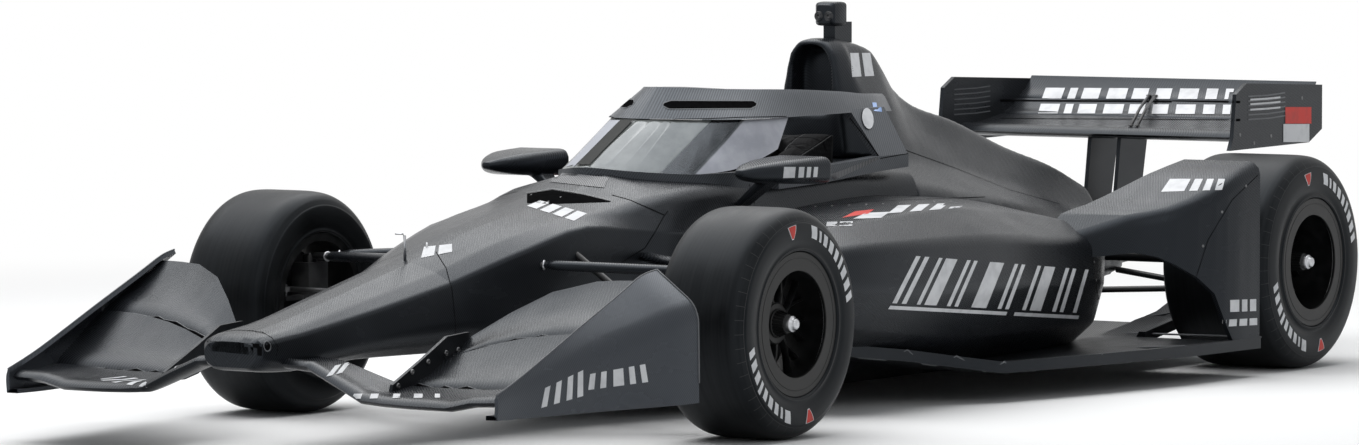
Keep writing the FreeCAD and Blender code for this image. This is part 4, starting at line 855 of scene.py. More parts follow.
def thin_lines(sheet, route, radius):
    """Adds a thin round line along a route, and its mirror image."""
    for way in (route, [other_side(spot) for spot in route]):
        sheet.add(*tube(way, radius, 8))


def wing_edge(sheet, name, radius, ahead):
    """A thin round line along a plane's front edge, a little ahead of it, on both sides."""
    route = []
    for spot in outermost(name, lambda spot: round(spot.y / 0.03), lambda spot: spot.x)[1:-1]:
        if not route or (spot - route[-1]).length < 0.1:
            route.append(spot)
    thin_lines(sheet, [spot + (AHEAD - UP * 0.6) * ahead for spot in route], radius)


# The CAD nodes' own finishes

NODE_FINISHES = {
    "carbon_skin": (
        "nose_cone", "tub", "sidepods", "wheel_guards", "engine_cover", "roll_hoop_fairing",
        "camera_pod", "front_wing_main_plane", "front_wing_lower_flaps", "front_wing_upper_flaps",
        "front_wing_endplates", "rear_wing_main_plane", "rear_wing_flaps", "rear_wing_endplates",
        "mirrors",
    ),
    "carbon_floor": ("floor",),
    "carbon_plain": ("dashboard", "rear_crash_box", "front_wing_adjusters", "rear_wing_pylons"),
    "carbon_frame": ("screen_upper_frame", "screen_base_frame"),
    "screen_glass": ("windscreen",),
    "rim_black": ("rim_front_left", "rim_front_right", "rim_rear_left", "rim_rear_right"),
    "dull_alloy": ("front_upright_left", "front_upright_right", "rear_uprights", "steering_rack"),
    "leg_paint": ("front_suspension", "rear_suspension", "drive_shafts"),
    "casting": ("engine_block", "gearbox"),
    "core_fins": ("radiators",),
    "pad_cloth": ("headrest", "seat", "steering_wheel"),
}
WELD_REACH = 0.00002


def dress_nodes():
    """Gives each CAD node its finish, and smooth shading up to a corner of 32 degrees."""
    for finish, names in NODE_FINISHES.items():
        for name in names:
            node = NODES[name]
            node.data.materials.clear()
            node.data.materials.append(finish_of(finish).material)
            if "custom_normal" in node.data.attributes:
                node.data.attributes.remove(node.data.attributes["custom_normal"])
            node.data.shade_smooth()
            modify(node, "WELD", merge_threshold=WELD_REACH)
            modify(node, "EDGE_SPLIT", split_angle=math.radians(32))


# Shells with rounded edges


def softened(names, label, voxel, rounds):
    """A copy of some CAD shells with their hard edges rounded, as a laid-up shell has them."""
    sheet = Sheet()
    for name in names:
        mesh = NODES[name].data
        sheet.add([vertex.co for vertex in mesh.vertices], [face.vertices for face in mesh.polygons])
    made = sheet.made(label, "carbon_skin")
    modify(made, "WELD", merge_threshold=WELD_REACH)
    modify(made, "REMESH", mode="VOXEL", voxel_size=voxel)
    modify(made, "SMOOTH", factor=0.5, iterations=rounds)
    applied(made)
    made.data.shade_smooth()
    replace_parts(made, *names)


def build_shells():
    """The engine cover with its air intake, and the mirrors."""
    softened(("engine_cover", "roll_hoop_fairing"), "cover_shell", 0.011, 17)
    softened(("mirrors",), "mirror_shells", 0.0035, 14)


# Distance ahead of the front axle; then y and z of a front endplate's inner face at foot, shoulder and top
ENDPLATE_ROWS = (
    (1.290, (0.826, 0.142), (0.830, 0.182), (0.828, 0.198)),
    (1.150, (0.838, 0.140), (0.838, 0.222), (0.826, 0.248)),
    (0.900, (0.878, 0.140), (0.876, 0.300), (0.826, 0.352)),
    (0.700, (0.922, 0.140), (0.922, 0.352), (0.826, 0.434)),
    (0.590, (0.950, 0.141), (0.950, 0.386), (0.826, 0.480)),
    (0.520, (0.966, 0.143), (0.962, 0.402), (0.832, 0.494)),
)
ENDPLATE_WALL = 0.012
ENDPLATE_FLANGE = 0.026
SHOULDER_CUT = 0.045
# Places of a section below its shoulder, round it and above it
FOOT_STEPS, CORNER_STEPS, HEAD_STEPS = 4, 6, 3


def rounded(foot, corner, head):
    """Places along two lines of y and z, whose corner is rounded."""
    foot, corner, head = [Vector((0, *spot)) for spot in (foot, corner, head)]
    start, end = [
        corner + (far - corner).normalized() * min(SHOULDER_CUT, (far - corner).length * 0.45)
        for far in (foot, head)
    ]
    made = [foot.lerp(start, index / FOOT_STEPS) for index in range(FOOT_STEPS)]
    for share in [index / CORNER_STEPS for index in range(CORNER_STEPS + 1)]:
        made.append(start.lerp(corner, share).lerp(corner.lerp(end, share), share))
    return made + [end.lerp(head, (index + 1) / HEAD_STEPS) for index in range(HEAD_STEPS)]


def endplate_section(ahead, foot, shoulder, head):
    """The closed outline of an endplate at one distance: outer face, inner face and flange."""
    wall = ENDPLATE_WALL
    inner = rounded(foot, shoulder, head)
    outer = rounded(
        (foot[0] + wall, foot[1]),
        (shoulder[0] + wall, shoulder[1] + wall / 3),
        (head[0] + wall / 2, head[1] + wall),
    )
    inner[0] = Vector((0, foot[0], foot[1] + wall))
    flange = [Vector((0, foot[0] - ENDPLATE_FLANGE, foot[1] + rise)) for rise in (wall, 0)]
    return [at(ahead, spot.y, spot.z) for spot in outer + inner[::-1] + flange]


def build_endplates():
    """The front endplates as curved sheets in a carbon with painted sheen, with a rounded shoulder and a
    thin lip whose pale colour is a painted highlight.
    """
    sections = [endplate_section(*row) for row in ENDPLATE_ROWS]
    columns = [smooth_through(column, 5) for column in zip(*sections)]
    rows = list(zip(*columns))
    count = len(columns)
    faces = grid_faces(len(rows), count, False, True)
    for base in (0, (len(rows) - 1) * count):
        for index in range(count // 2 - 2):
            opposite = base + count - 3 - index
            faces.append((base + index, base + index + 1, opposite - 1, opposite))
    sheet = Sheet()
    sheet.add([spot for row in rows for spot in row], faces)
    made = sheet.made("curved_endplates", "carbon_sheen", twin=True)
    modify(made, "EDGE_SPLIT", split_angle=math.radians(40))
    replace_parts(made, "front_wing_endplates")
    top = FOOT_STEPS + CORNER_STEPS + 1 + HEAD_STEPS
    # The lip along the trailing and top edges is pale grey as a painted highlight.
    lip = Sheet()
    lip.add(*tube(rows[-1][1:top], 0.0028, 8))
    lip.add(*tube([row[top - 1] for row in rows], 0.002, 8))
    lip.made("endplate_lip_highlights", "edge_grey", twin=True)


# Wheels

# Half the width of the rims, front and rear, and the radius where a tyre meets its rim
FRONT_DEPTH, REAR_DEPTH = 0.137, 0.188
BEAD = 0.2035


class Wheel:
    """A wheel's hub, side of the car and sizes; it makes pieces that ride on the wheel."""

    def __init__(self, place, side_name, side, hub, depth):
        self.end = "%s_%s" % (place, side_name)
        self.side = side
        self.hub = Vector((hub.x, hub.y * side, hub.z))
        self.radius = hub.z
        self.depth = depth
        low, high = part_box("tyre_" + self.end)
        self.half = (high.y - low.y) / 2
        low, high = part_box("rim_" + self.end)
        self.reach = (high.y if side > 0 else -low.y) - hub.y
        self.wall = self.tyre_profile()

    def tyre_profile(self):
        """Radius and offset from the rim's flange out to the middle of the tread."""
        radius, half, depth = self.radius, self.half, self.depth
        outline = (
            (BEAD, depth - 0.012, 0), (0.2065, depth + 0.0005, 0), (0.211, depth + 0.0055, 0),
            (0.222, half - 0.0075, 0), (0.240, half - 0.0025, 0), (0.262, half, 0),
            (0.283, half - 0.0012, 0), (radius - 0.0395, half - 0.0042, 0),
            (radius - 0.031, half - 0.0082, 0), (radius - 0.0225, half - 0.0135, 0),
            (radius - 0.0115, half - 0.0255, 0), (radius - 0.0042, half - 0.042, 0),
            (radius - 0.0012, half - 0.064, 0), (radius - 0.0002, half - 0.088, 0),
            (radius, half - 0.115, 0),
        )
        return [(spot.x, spot.y) for spot in smooth_through(outline, 4)]

    def spot(self, angle, radius, along):
        """A place by its angle in degrees, its radius, and how far out from the hub it lies."""
        turn = math.radians(angle)
        return self.hub + Vector((radius * math.cos(turn), along * self.side, radius * math.sin(turn)))

    def outward(self, faces):
        """Faces that are right for the car's left, turned over on its right."""
        return faces if self.side > 0 else [tuple(reversed(face)) for face in faces]

    def turned(self, sheet, profile, segments, closed=True):
        """Adds a ring turned about the axle; profile holds (radius, along)."""
        angles = [360 * index / segments for index in range(segments)]
        points = [self.spot(angle, radius, along) for radius, along in profile for angle in angles]
        sheet.add(points, self.outward(grid_faces(len(profile), segments, closed, True)))

    def arm(self, sheet, places, radii, sides=14, flat=1.0):
        """Adds a tube through places of angle, radius and offset."""
        sheet.add(*tube([self.spot(*place) for place in places], radii, sides, True, flat))

    def mark(self, sheet, first, last, low, high, slant=0.0, point=0.0, lift=0.0007):
        """Adds a mark on the outer sidewall between two angles and two radii; point narrows its foot."""
        steps = max(2, int(abs(last - first) / 1.5))
        middle = (first + last) / 2
        rows = 5
        points = []
        for share in [row / (rows - 1) for row in range(rows)]:
            width = 1 - point * (1 - share) ** 1.5
            reach = low + (high - low) * share
            for step in range(steps + 1):
                angle = middle + (first + (last - first) * step / steps - middle) * width
                along = self.wall_offset(reach) + lift
                points.append(self.spot(180 - angle - slant * share, reach, along))
        sheet.add(points, self.outward(grid_faces(rows, steps + 1)))

    def wall_offset(self, reach):
        """How far out the sidewall lies at a radius."""
        for (r0, a0), (r1, a1) in zip(self.wall[:-1], self.wall[1:]):
            if r0 <= reach <= r1:
                return a0 + (a1 - a0) * (reach - r0) / max(r1 - r0, 1e-9)
        return self.wall[-1][1]

    def made(self, sheet, label, finish, smooth=True):
        """The piece of this wheel that holds a sheet."""
        return sheet.made("%s_%s" % (label, self.end), finish, "wheel_" + self.end, smooth)


# Width in degrees and extra height of the blocks of paint on a sidewall, and the degrees between them
MARK_WIDTHS = (
    (6.5, 0.005), (2.6, 0.0), (4.6, 0.0), (5.2, 0.0), (4.4, 0.0), (3.2, 0.006), (5.4, 0.0), (5.4, 0.0),
    (4.6, 0.0),
)
MARK_GAP = 3.0
# The blocks stand this share of the way up the sidewall, and reach this far above and below it
MARK_SHARE, MARK_ABOVE, MARK_BELOW = 0.46, 0.017, 0.013
FIRST_BLOCK, TICKS = 77, 48
# First and last angle of the badge before the blocks and of its red middle, and how its foot narrows
BADGE, BADGE_MIDDLE, BADGE_POINT = (104.2, 95.2), (103.4, 96.0), 0.75


def build_tyre(wheel):
    """A slick tyre, its marks and its mould ticks."""
    tyre = Sheet()
    wheel.turned(tyre, wheel.wall + [(radius, -along) for radius, along in reversed(wheel.wall)], 144, False)
    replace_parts(wheel.made(tyre, "slick", "slick_rubber"), "tyre_" + wheel.end)
    middle = BEAD + (wheel.radius - BEAD) * MARK_SHARE
    low, high = middle - MARK_BELOW, middle + MARK_ABOVE
    white, red, ticks = Sheet(), Sheet(), Sheet()
    for turn in (0, 180):
        angle = FIRST_BLOCK + turn
        for width, rise in MARK_WIDTHS:
            wheel.mark(white, angle, angle - width, low, high + rise, 2.0)
            angle -= width + MARK_GAP
        first, last = [spot + turn for spot in BADGE]
        wheel.mark(white, first, last, low - 0.004, high + 0.006, 0.0, BADGE_POINT)
        first, last = [spot + turn for spot in BADGE_MIDDLE]
        wheel.mark(red, first, last, low - 0.001, high + 0.0045, 0.0, BADGE_POINT, 0.0012)
    wheel.made(white, "wall_marks", "white_marks")
    wheel.made(red, "wall_badges", "red_marks")
    for index in range(TICKS):
        angle = index * 360 / TICKS + 2
        wheel.mark(ticks, angle, angle + 0.22, wheel.radius - 0.036, wheel.radius - 0.014)
    for reach in (0.2135, wheel.radius - 0.037):
        wheel.mark(ticks, 0, 360, reach, reach + 0.0011)
    wheel.made(ticks, "mould_marks", "mould_grey")


SPOKES = 10
COLLAR_RIDGES = 20
# Sections of the rim's plain rings as radius and offset from the wheel's middle
HUB_BODY = (
    (0.029, 0.075), (0.040, 0.075), (0.042, 0.073), (0.042, 0.069), (0.056, 0.0675), (0.060, 0.064),
    (0.060, -0.02), (0.029, -0.02),
)
DISC_FACE = (
    (0.098, 0.004), (0.154, 0.004), (0.156, 0.002), (0.156, -0.024), (0.154, -0.026), (0.098, -0.026),
)
DISC_BELL = ((0.05, 0.004), (0.1, 0.001), (0.1, -0.006), (0.05, -0.006))


def build_rim(wheel):
    """A deep black rim: cover ring, barrel, forked spokes and ridged collar."""
    depth = wheel.depth
    ring = (
        (0.151, depth - 0.0015), (0.1525, depth), (0.1860, depth), (0.1875, depth - 0.0012),
        (0.1895, depth - 0.0012), (0.191, depth), (BEAD, depth), (0.205, depth - 0.0015),
        (0.205, depth - 0.006), (0.190, depth - 0.020), (0.190, 0.020 - depth), (0.205, 0.006 - depth),
        (0.205, -depth), (0.182, -depth), (0.182, depth - 0.009), (0.151, depth - 0.009),
    )
    foot, head = 0.073, wheel.reach - 0.034
    cone = ((0.024, head), (0.0255, head), (0.034, foot + 0.004), (0.036, foot), (0.03, foot - 0.002))
    black = Sheet()
    wheel.turned(black, ring, 96)
    wheel.turned(black, HUB_BODY, 48)
    wheel.turned(black, cone, 40, False)
    for angle in [360 / SPOKES * index + 9 for index in range(SPOKES)]:
        stem = ((angle, 0.052, 0.052), (angle, 0.075, 0.05), (angle, 0.1, 0.046))
        wheel.arm(black, stem, (0.014, 0.0125, 0.012), 10, 0.6)
        for fork in (-9, 9):
            arm = ((angle, 0.092, 0.047), (angle + fork * 0.5, 0.128, 0.043), (angle + fork, 0.185, 0.034))
            wheel.arm(black, arm, (0.0115, 0.0105, 0.0125), 10, 0.5)
    for angle in [360 / COLLAR_RIDGES * index for index in range(COLLAR_RIDGES)]:
        ridge = ((angle, 0.0375, foot), (angle, 0.0345, foot + 0.006), (angle, 0.0265, head))
        wheel.arm(black, ridge, (0.0028, 0.003, 0.0018), 6)
    rim = wheel.made(black, "forged_rim", "rim_black")
    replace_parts(rim, "rim_" + wheel.end)
    modify(rim, "EDGE_SPLIT", split_angle=math.radians(34))


def build_nut(wheel):
    """The bright wheel nut with the rim's polished edge, and the brake disc behind the spokes."""
    reach, depth, segments = wheel.reach, wheel.depth, 40
    nut = (
        (0.002, reach), (0.009, reach - 0.0006), (0.0135, reach - 0.0024), (0.016, reach - 0.006),
        (0.0165, reach - 0.013), (0.0215, reach - 0.0145), (0.0235, reach - 0.017), (0.0235, reach - 0.036),
    )
    edge = (
        (0.1512, depth - 0.0092), (0.154, depth - 0.0115), (0.163, depth - 0.0135),
        (0.1635, depth - 0.0095),
    )
    bright, disc = Sheet(), Sheet()
    wheel.turned(bright, nut, segments, False)
    bright.faces += wheel.outward([tuple(reversed(range(segments)))])
    wheel.turned(bright, edge, 96)
    wheel.made(bright, "wheel_nut", "bright_steel")
    wheel.turned(disc, DISC_FACE, 72)
    wheel.turned(disc, DISC_BELL, 48)
    wheel.made(disc, "brake_disc", "brake_grey", False)


def build_wheels():
    """Tyre, rim, nut and brake disc at each corner of the car."""
    for side_name, side in SIDES:
        for place, hub, depth in (("front", FRONT_HUB, FRONT_DEPTH), ("rear", REAR_HUB, REAR_DEPTH)):
            wheel = Wheel(place, side_name, side, hub, depth)
            build_tyre(wheel)
            build_rim(wheel)
            build_nut(wheel)


# Thin pieces laid on the car, drawn over the photograph

# Shares of a long mark that its bars fill
POD_BARS = (
    (0.0, 0.025), (0.05, 0.075), (0.13, 0.15), (0.17, 0.235), (0.29, 0.31), (0.33, 0.35), (0.42, 0.5),
    (0.56, 0.58), (0.6, 0.62), (0.69, 0.71), (0.73, 0.79), (0.85, 0.87), (0.89, 0.91), (0.96, 0.98),
)
WING_BARS = (
    (0.0, 0.1), (0.13, 0.17), (0.2, 0.29), (0.33, 0.43), (0.46, 0.54), (0.58, 0.66), (0.7, 0.8),
    (0.84, 0.9), (0.94, 1.0),
)
FOUR_BARS = ((0.0, 0.2), (0.27, 0.47), (0.54, 0.74), (0.8, 1.0))
FIVE_BARS = ((0.0, 0.14), (0.22, 0.34), (0.42, 0.54), (0.62, 0.74), (0.82, 1.0))
SHORTENING_BARS = ((0.0, 0.38), (0.46, 0.6), (0.68, 0.8), (0.88, 1.0))
TOW_HOLE = (267.2, 346.3)

# Each piece's finish, whether the car's right has its mirror image, and its shapes. A shape is what draws
# it, its surface and its places in the photograph. Then come its width or radius, its lift or height, and
# its steps: lengths are in metres, and steps in cells of the picture.

NOSE_PIECES = {
    "nose_seams": ("seam_black", True, (
        (strip, "nose", ((212, 333), (240, 330), (262, 332), (272, 338), (278, 347), (276, 356)), 0.0025),
        (strip, "front", ((436, 252), (446, 268), (452, 290), (455, 320), (456, 352)), 0.0022),
        (strip, "cowl", ((612, 195), (630, 200), (664, 215)), 0.0035),
        (strip, "cowl", ((668, 211), (664, 216), (655, 232), (645, 248), (622, 262)), 0.0025),
        (strip, "cowl", ((749, 184), (754.5, 203.6)), 0.003),
    )),
    # Black patches where the nose tip, the tow hole and the cowl duct open: painted shade.
    "opening_painted_shade": ("seam_black", False, (
        (patch, "nose", ((211, 351), (262, 356), (262, 344), (207, 341))),
        (fan, "nose", oval(TOW_HOLE, 4.6, 5.2)),
        (patch, "cowl", ((527, 203), (552, 204), (552, 190), (527, 194))),
        (patch, "cowl", ((552, 204), (582, 203), (582, 194.6), (552, 190))),
        (patch, "cowl", ((582, 203), (610, 202), (610, 201.2), (582, 194.6))),
    )),
    "opening_lips": ("edge_grey", False, (
        (round_lip, "nose", TOW_HOLE, 0.0135, 0.0018),
        (strip, "cowl", ((526, 193.2), (552, 189), (582, 193.6), (611, 200.8)), 0.004, 0.002),
    )),
    "cowl_mesh": ("wire_mesh", False, (
        (patch, "cowl", ((550, 182), (604, 188), (609, 178), (558, 172)), 0.0012),
    )),
    "nose_marks": ("white_marks", False, (
        (bars, "cowl", ((527, 206), (574, 221)), ((540, 200.5), (587, 213.5)), FOUR_BARS),
        (bars, "front", ((421, 258), (452, 252)), ((424, 247), (452, 244)), ((0.0, 0.42), (0.55, 1.0))),
    )),
}
SCREEN_PIECES = {
    # Black patches where the frame's slots open: painted shade.
    "frame_slot_shade": ("seam_black", True, (
        (patch, "frame", ((669, 108.8), (751, 108.2), (753, 101.4), (671, 101.2)), 0.0008, 2.5),
        (fan, "frame", ((669, 108.8), (664.5, 106.8), (663.2, 104.8), (665.5, 102.6), (671, 101.2))),
        (fan, "frame", ((751, 108.2), (755.5, 106.2), (756.8, 104.6), (756, 102.6), (753, 101.4))),
    )),
    "frame_slot_lips": ("edge_grey", True, (
        (strip, "frame", (
            (664, 106.6), (669, 109.3), (751, 108.7), (756, 106.2), (757, 104), (753, 100.9),
            (671, 100.7), (664, 103), (663, 105),
        ), 0.003, 0.0012, 3.0),
    )),
    "screen_strut_cover": ("mottled_grey", False, (
        (patch, "glass", ((573, 169), (586, 169), (634, 120.5), (622, 120.5)), 0.004),
    )),
    # A pale band on the glass where it curves: painted reflection.
    "screen_reflection_band": ("pale_film", False, (
        (patch, "glass", ((556, 175), (571, 170), (620, 120.5), (607, 120)), 0.0012),
    )),
    "rail_mesh": ("wire_mesh", True, (
        (patch, "rail", ((826, 184), (878, 159.5), (877, 157), (822, 177.5)), 0.0012),
    )),
    "frame_seams": ("seam_black", True, (
        (strip, "frame", ((850, 118), (868, 141), (880, 158)), 0.003),
        (strip, "frame", ((880, 158.5), (908, 153.5)), 0.0025),
        (strip, "frame", ((786, 116.5), (744, 117.2), (705, 118.8), (650, 119.6)), 0.0025),
    )),
    "blank_badge": ("white_marks", True, ((fan, "frame", oval((867, 119), 5.6, 10.5, 18, -0.12), 0.004),)),
    "blank_chip": ("light_marks", True, (
        (patch, "frame", ((873.5, 111), (882, 112), (880.5, 103), (872, 102.5))),
    )),
}
BODY_PIECES = {
    "body_marks": ("white_marks", True, (
        (bars, "pods", ((892, 303), (1080, 313)), ((916, 256), (1092, 270)), POD_BARS),
        (bars, "pods", ((888, 309), (1078, 319)), ((890, 305.5), (1079, 315.5)), ((0.0, 0.62), (0.66, 1.0))),
        (bars, "pods", ((888, 213.5), (985, 206)), ((898, 205.5), (992, 201.5)), FIVE_BARS),
        (bars, "pods", ((826, 226.5), (852, 226)), ((827, 222), (853, 221.5)), ((0.0, 0.4), (0.5, 1.0))),
        (patch, "pods", ((853, 219), (881, 218), (890, 212), (866, 213))),
        (bars, "guards", ((1161, 192), (1222, 190)), ((1170, 179), (1225, 179)), SHORTENING_BARS),
        (bars, "guards", ((1230, 312), (1256, 311)), ((1230, 300), (1256, 299)),
         ((0.0, 0.35), (0.45, 0.66), (0.76, 1.0))),
        (bars, "guards", ((1218, 327), (1257, 325)), ((1219, 320), (1257, 318)), FOUR_BARS),
        (bars, "mirrors", ((783, 178), (817, 177)), ((784, 167), (818, 167)),
         ((0.0, 0.34), (0.44, 0.6), (0.68, 0.8), (0.88, 1.0))),
    )),
    "body_flashes": ("red_marks", True, (
        (patch, "pods", ((842, 218), (868, 214), (874, 209.5), (855, 211.5))),
    )),
    "number_blocks": ("white_marks", True, (
        (bars, "hoop", ((852, 77), (874, 76)), ((850, 53), (870, 53)), ((0.0, 0.42), (0.58, 1.0)),
         0.0008, 2.5),
    )),
    "body_seams": ("seam_black", True, (
        (strip, "pods", ((800, 208), (860, 202), (930, 199), (985, 197)), 0.0022),
        (strip, "pods", ((1098, 232), (1093, 260), (1098, 300), (1106, 322)), 0.0025),
        (strip, "pods", ((905, 150), (955, 168), (1010, 190), (1060, 204)), 0.0022),
        (strip, "guards", ((1258, 175), (1232, 200), (1208, 240), (1192, 290)), 0.0022),
    )),
    "body_fasteners": ("dull_alloy", True, (
        (dots, "pods", [(815 + 17 * index, 206.5 - index * 0.7) for index in range(10)], 0.0045),
        (dots, "pods", ((1095, 244), (1094, 262), (1096, 280), (1099, 298), (1103, 314)), 0.0045),
        (dots, "guards", ((1246, 186), (1222, 212), (1203, 246), (1191, 280)), 0.0045),
    )),
}
WING_PIECES = {
    "wing_edges": ("edge_grey", True, (
        (slats, "plates", ((1248, 2.4), (1268, 1.2), (1285, -1.4)), [94 + 4.6 * n for n in range(6)],
         0.005, 0.0012),
        (slats, "plates", ((954, 1.5), (976, 0), (990, -2)), [88 + 5 * n for n in range(6)], 0.004, 0.0012),
        # A pale strip along the rear main plane's front edge: painted highlight.
        (strip, "rear", ((1008, 134), (1080, 135.5), (1160, 137.5), (1232, 139)), 0.006, 0.0012),
        (strip, "plates", ((1243, 81), (1310, 81)), 0.003, 0.0012),
    )),
    # Pale lines along the front flaps' front edges: painted highlight.
    "flap_edge_highlights": ("edge_grey", False, (
        (wing_edge, "front_wing_upper_flaps", 0.0022, 0.0),
        (wing_edge, "front_wing_lower_flaps", 0.0022, 0.0),
    )),
    # Black lines in the gaps ahead of the front flaps and between the rear wing's elements: painted shade.
    "wing_slot_shade": ("seam_black", False, (
        (wing_edge, "front_wing_upper_flaps", 0.0045, 0.0055),
        (wing_edge, "front_wing_lower_flaps", 0.0045, 0.0055),
        (strip, "rear", ((1000, 100.5), (1080, 101), (1160, 101.5), (1240, 102)), 0.008, 0.0012),
        (strip, "rear", ((1000, 118.5), (1080, 119), (1160, 119.5), (1240, 120)), 0.008, 0.0012),
    )),
    "rear_flap_marks": ("white_marks", False, (
        (bars, "rear", ((1042, 98.5), (1236, 99.5)), ((1046, 88), (1238, 89)), WING_BARS, 0.0014),
        (bars, "rear", ((1038, 113.5), (1234, 114.5)), ((1041, 104), (1235, 105)), WING_BARS, 0.0014),
    )),
    "wing_marks": ("white_marks", True, (
        (slats, "plates", ((1250, 1.2), (1268, 0), (1280, -1.2)), (98.5, 103.0, 108.5), 0.006, 0.0016),
        (patch, "plates", ((1283, 142), (1309, 142), (1309, 124), (1283, 124)), 0.0014),
        (bars, "wing", ((326, 377), (342, 373)), ((335, 366), (351, 362)), ((0.0, 0.4), (0.6, 1.0)),
         0.0012, 2.5),
        (bars, "wing", ((352, 399), (440, 398)), ((354, 394), (440, 394)), WING_BARS[::2], 0.0012, 2.5),
        (bars, "ends", ((541, 408), (583, 396)), ((545, 388), (583, 370)),
         ((0.0, 0.14), (0.3, 0.44), (0.6, 0.74), (0.86, 1.0))),
        (bars, "ends", ((588, 390), (648, 382)), ((590, 374), (645, 364)),
         ((0.0, 0.1), (0.2, 0.3), (0.42, 0.6), (0.7, 0.8), (0.9, 1.0))),
    )),
    "wing_flashes": ("red_marks", True, (
        (patch, "plates", ((1285, 123.5), (1311, 123.5), (1311, 107), (1285, 107)), 0.0014),
    )),
    "wing_bolts": ("dull_alloy", True, (
        (dots, "plates", ((1240, 135), (1271, 136), (1254, 143), (1302, 98)), 0.006),
        (dots, "adjusters", ((398, 386), (412, 372), (428, 362), (446, 353), (458, 350)), 0.008, 0.004, 16),
    )),
}


def lay(pieces):
    """Makes the thin pieces of a list."""
    for name, (finish, twin, shapes) in pieces.items():
        sheet = Sheet()
        for draw, *details in shapes:
            draw(sheet, *details)
        sheet.made(name, finish, twin=twin)


# Small round parts of the nose and the rear wing

# The slot bracket's upper and lower end and the aerial's foot, in the photograph
BRACKET_HEAD, BRACKET_FOOT, AERIAL_FOOT = (1152, 97), (1134, 127), (603, 298)


def build_air_speed_tube():
    """The bent tube and the pin on the nose."""
    foot, pin = at(0.543, 0, 0.495), at(0.436, 0, 0.515)
    bends = ((0, 0), (0, 0.06), (0.002, 0.078), (0.012, 0.085), (0.045, 0.086))
    probe = Sheet()
    route = [foot + AHEAD * x + UP * z for x, z in bends]
    probe.add(*tube(route, (0.0045, 0.004, 0.004, 0.0035, 0.0025), 12))
    probe.add(*tube([pin, pin + UP * 0.034], (0.0035, 0.0025), 10))
    probe.add(*button(pin + UP * 0.012, UP, 0.007, 0.004))
    probe.made("air_speed_tube", "bright_steel")


def build_bracket():
    """The two links over the rear wing's slot, and the short aerial on the cowl."""
    bracket = Sheet()
    rear = skin_of("rear")
    high, low = [rear.seen(place)[0] + UP * 0.004 for place in (BRACKET_HEAD, BRACKET_FOOT)]
    for shift in (0.012, -0.012):
        start, end = low + LEFT * shift, high + LEFT * shift
        bracket.add(*tube([start, start.lerp(end, 0.5) + UP * 0.008, end], 0.005, 10))
        for spot in (start, end):
            bracket.add(*button(spot, UP, 0.009, 0.004, 14))
    foot = skin_of("front").seen(AERIAL_FOOT)[0]
    aerial = [foot - UP * 0.004, foot + UP * 0.03, foot + UP * 0.05 - AHEAD * 0.008]
    bracket.add(*tube(aerial, (0.005, 0.0035, 0.002), 10))
    bracket.made("slot_bracket", "leg_paint")


# Pads and belts

# The pads are drawn in by this much, then blown up by this pressure for this many frames
DRAWN_IN, PRESSURE, CLOTH_FRAMES = 0.005, 4, 20


def swollen(made):
    """Blows a pad up for a few frames, and keeps the result."""
    cloth = modify(made, "CLOTH")
    cloth.settings.use_pressure = True
    cloth.settings.uniform_pressure_force = PRESSURE
    cloth.settings.effector_weights.gravity = 0
    cloth.collision_settings.use_collision = False
    cloth.point_cache.frame_end = CLOTH_FRAMES
    for step in range(1, CLOTH_FRAMES + 1):
        bpy.context.scene.frame_set(step)
    applied(made)
    bpy.context.scene.frame_set(1)


def cushion(node_name, label, cap, voxel):
    """A swollen copy of a plain CAD pad, kept inside the pad's own box."""
    made = linked(label, NODES[node_name].data.copy())
    modify(made, "REMESH", mode="VOXEL", voxel_size=voxel)
    modify(made, "SMOOTH", factor=0.5, iterations=4)
    modify(made, "DISPLACE", strength=-DRAWN_IN, mid_level=0.0)
    applied(made)
    before = [vertex.co.copy() for vertex in made.data.vertices]
    swollen(made)
    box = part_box(node_name)
    for start, vertex in zip(before, made.data.vertices):
        moved = vertex.co - start
        if moved.length > cap:
            moved *= cap / moved.length
        vertex.co = held(start + moved, box)
    modify(made, "SUBSURF", levels=1, render_levels=1)
    applied(made)
    chosen = finish_of("pad_cloth")
    made.data.materials.clear()
    made.data.materials.append(chosen.material)
    made.data.shade_smooth()
    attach(made, "chassis")
    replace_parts(made, node_name)


def from_above(skin, x, y):
    """Where a skin is met from above."""
    return skin.meet(Vector((x, y, CAD_BOX[1][2] + CLEAR)), DOWN)


SEAM, SEAT_SEAM, THREAD = 0.003, 0.0035, 0.0012
SEAM_SPACING, SEAM_LIFT = 0.012, 0.0008
# The headrest's long seams by y, and its short ones by their share of its length
HEADREST_SEAMS, HEADREST_SHARES = (-0.215, -0.13, 0.13, 0.215), (0.3, 0.55, 0.8)
# The seat's seams: how many, the first one's place on the seat, and the distance between them
SEAT_SEAMS, SEAT_START, SEAT_PITCH = 7, 0.06, 0.075


def seam(sheet, skin, start, end, width):
    """Adds a narrow strip on top of a skin between two places of x and y."""
    start, end = Vector(start), Vector(end)
    count = max(1, math.ceil((end - start).length / SEAM_SPACING))
    run = [from_above(skin, *start.lerp(end, index / count)) for index in range(count + 1)]
    run = [pair for pair in run if pair[0] is not None]
    if len(run) > 1:
        sheet.add(*ribbon(run, width, SEAM_LIFT))


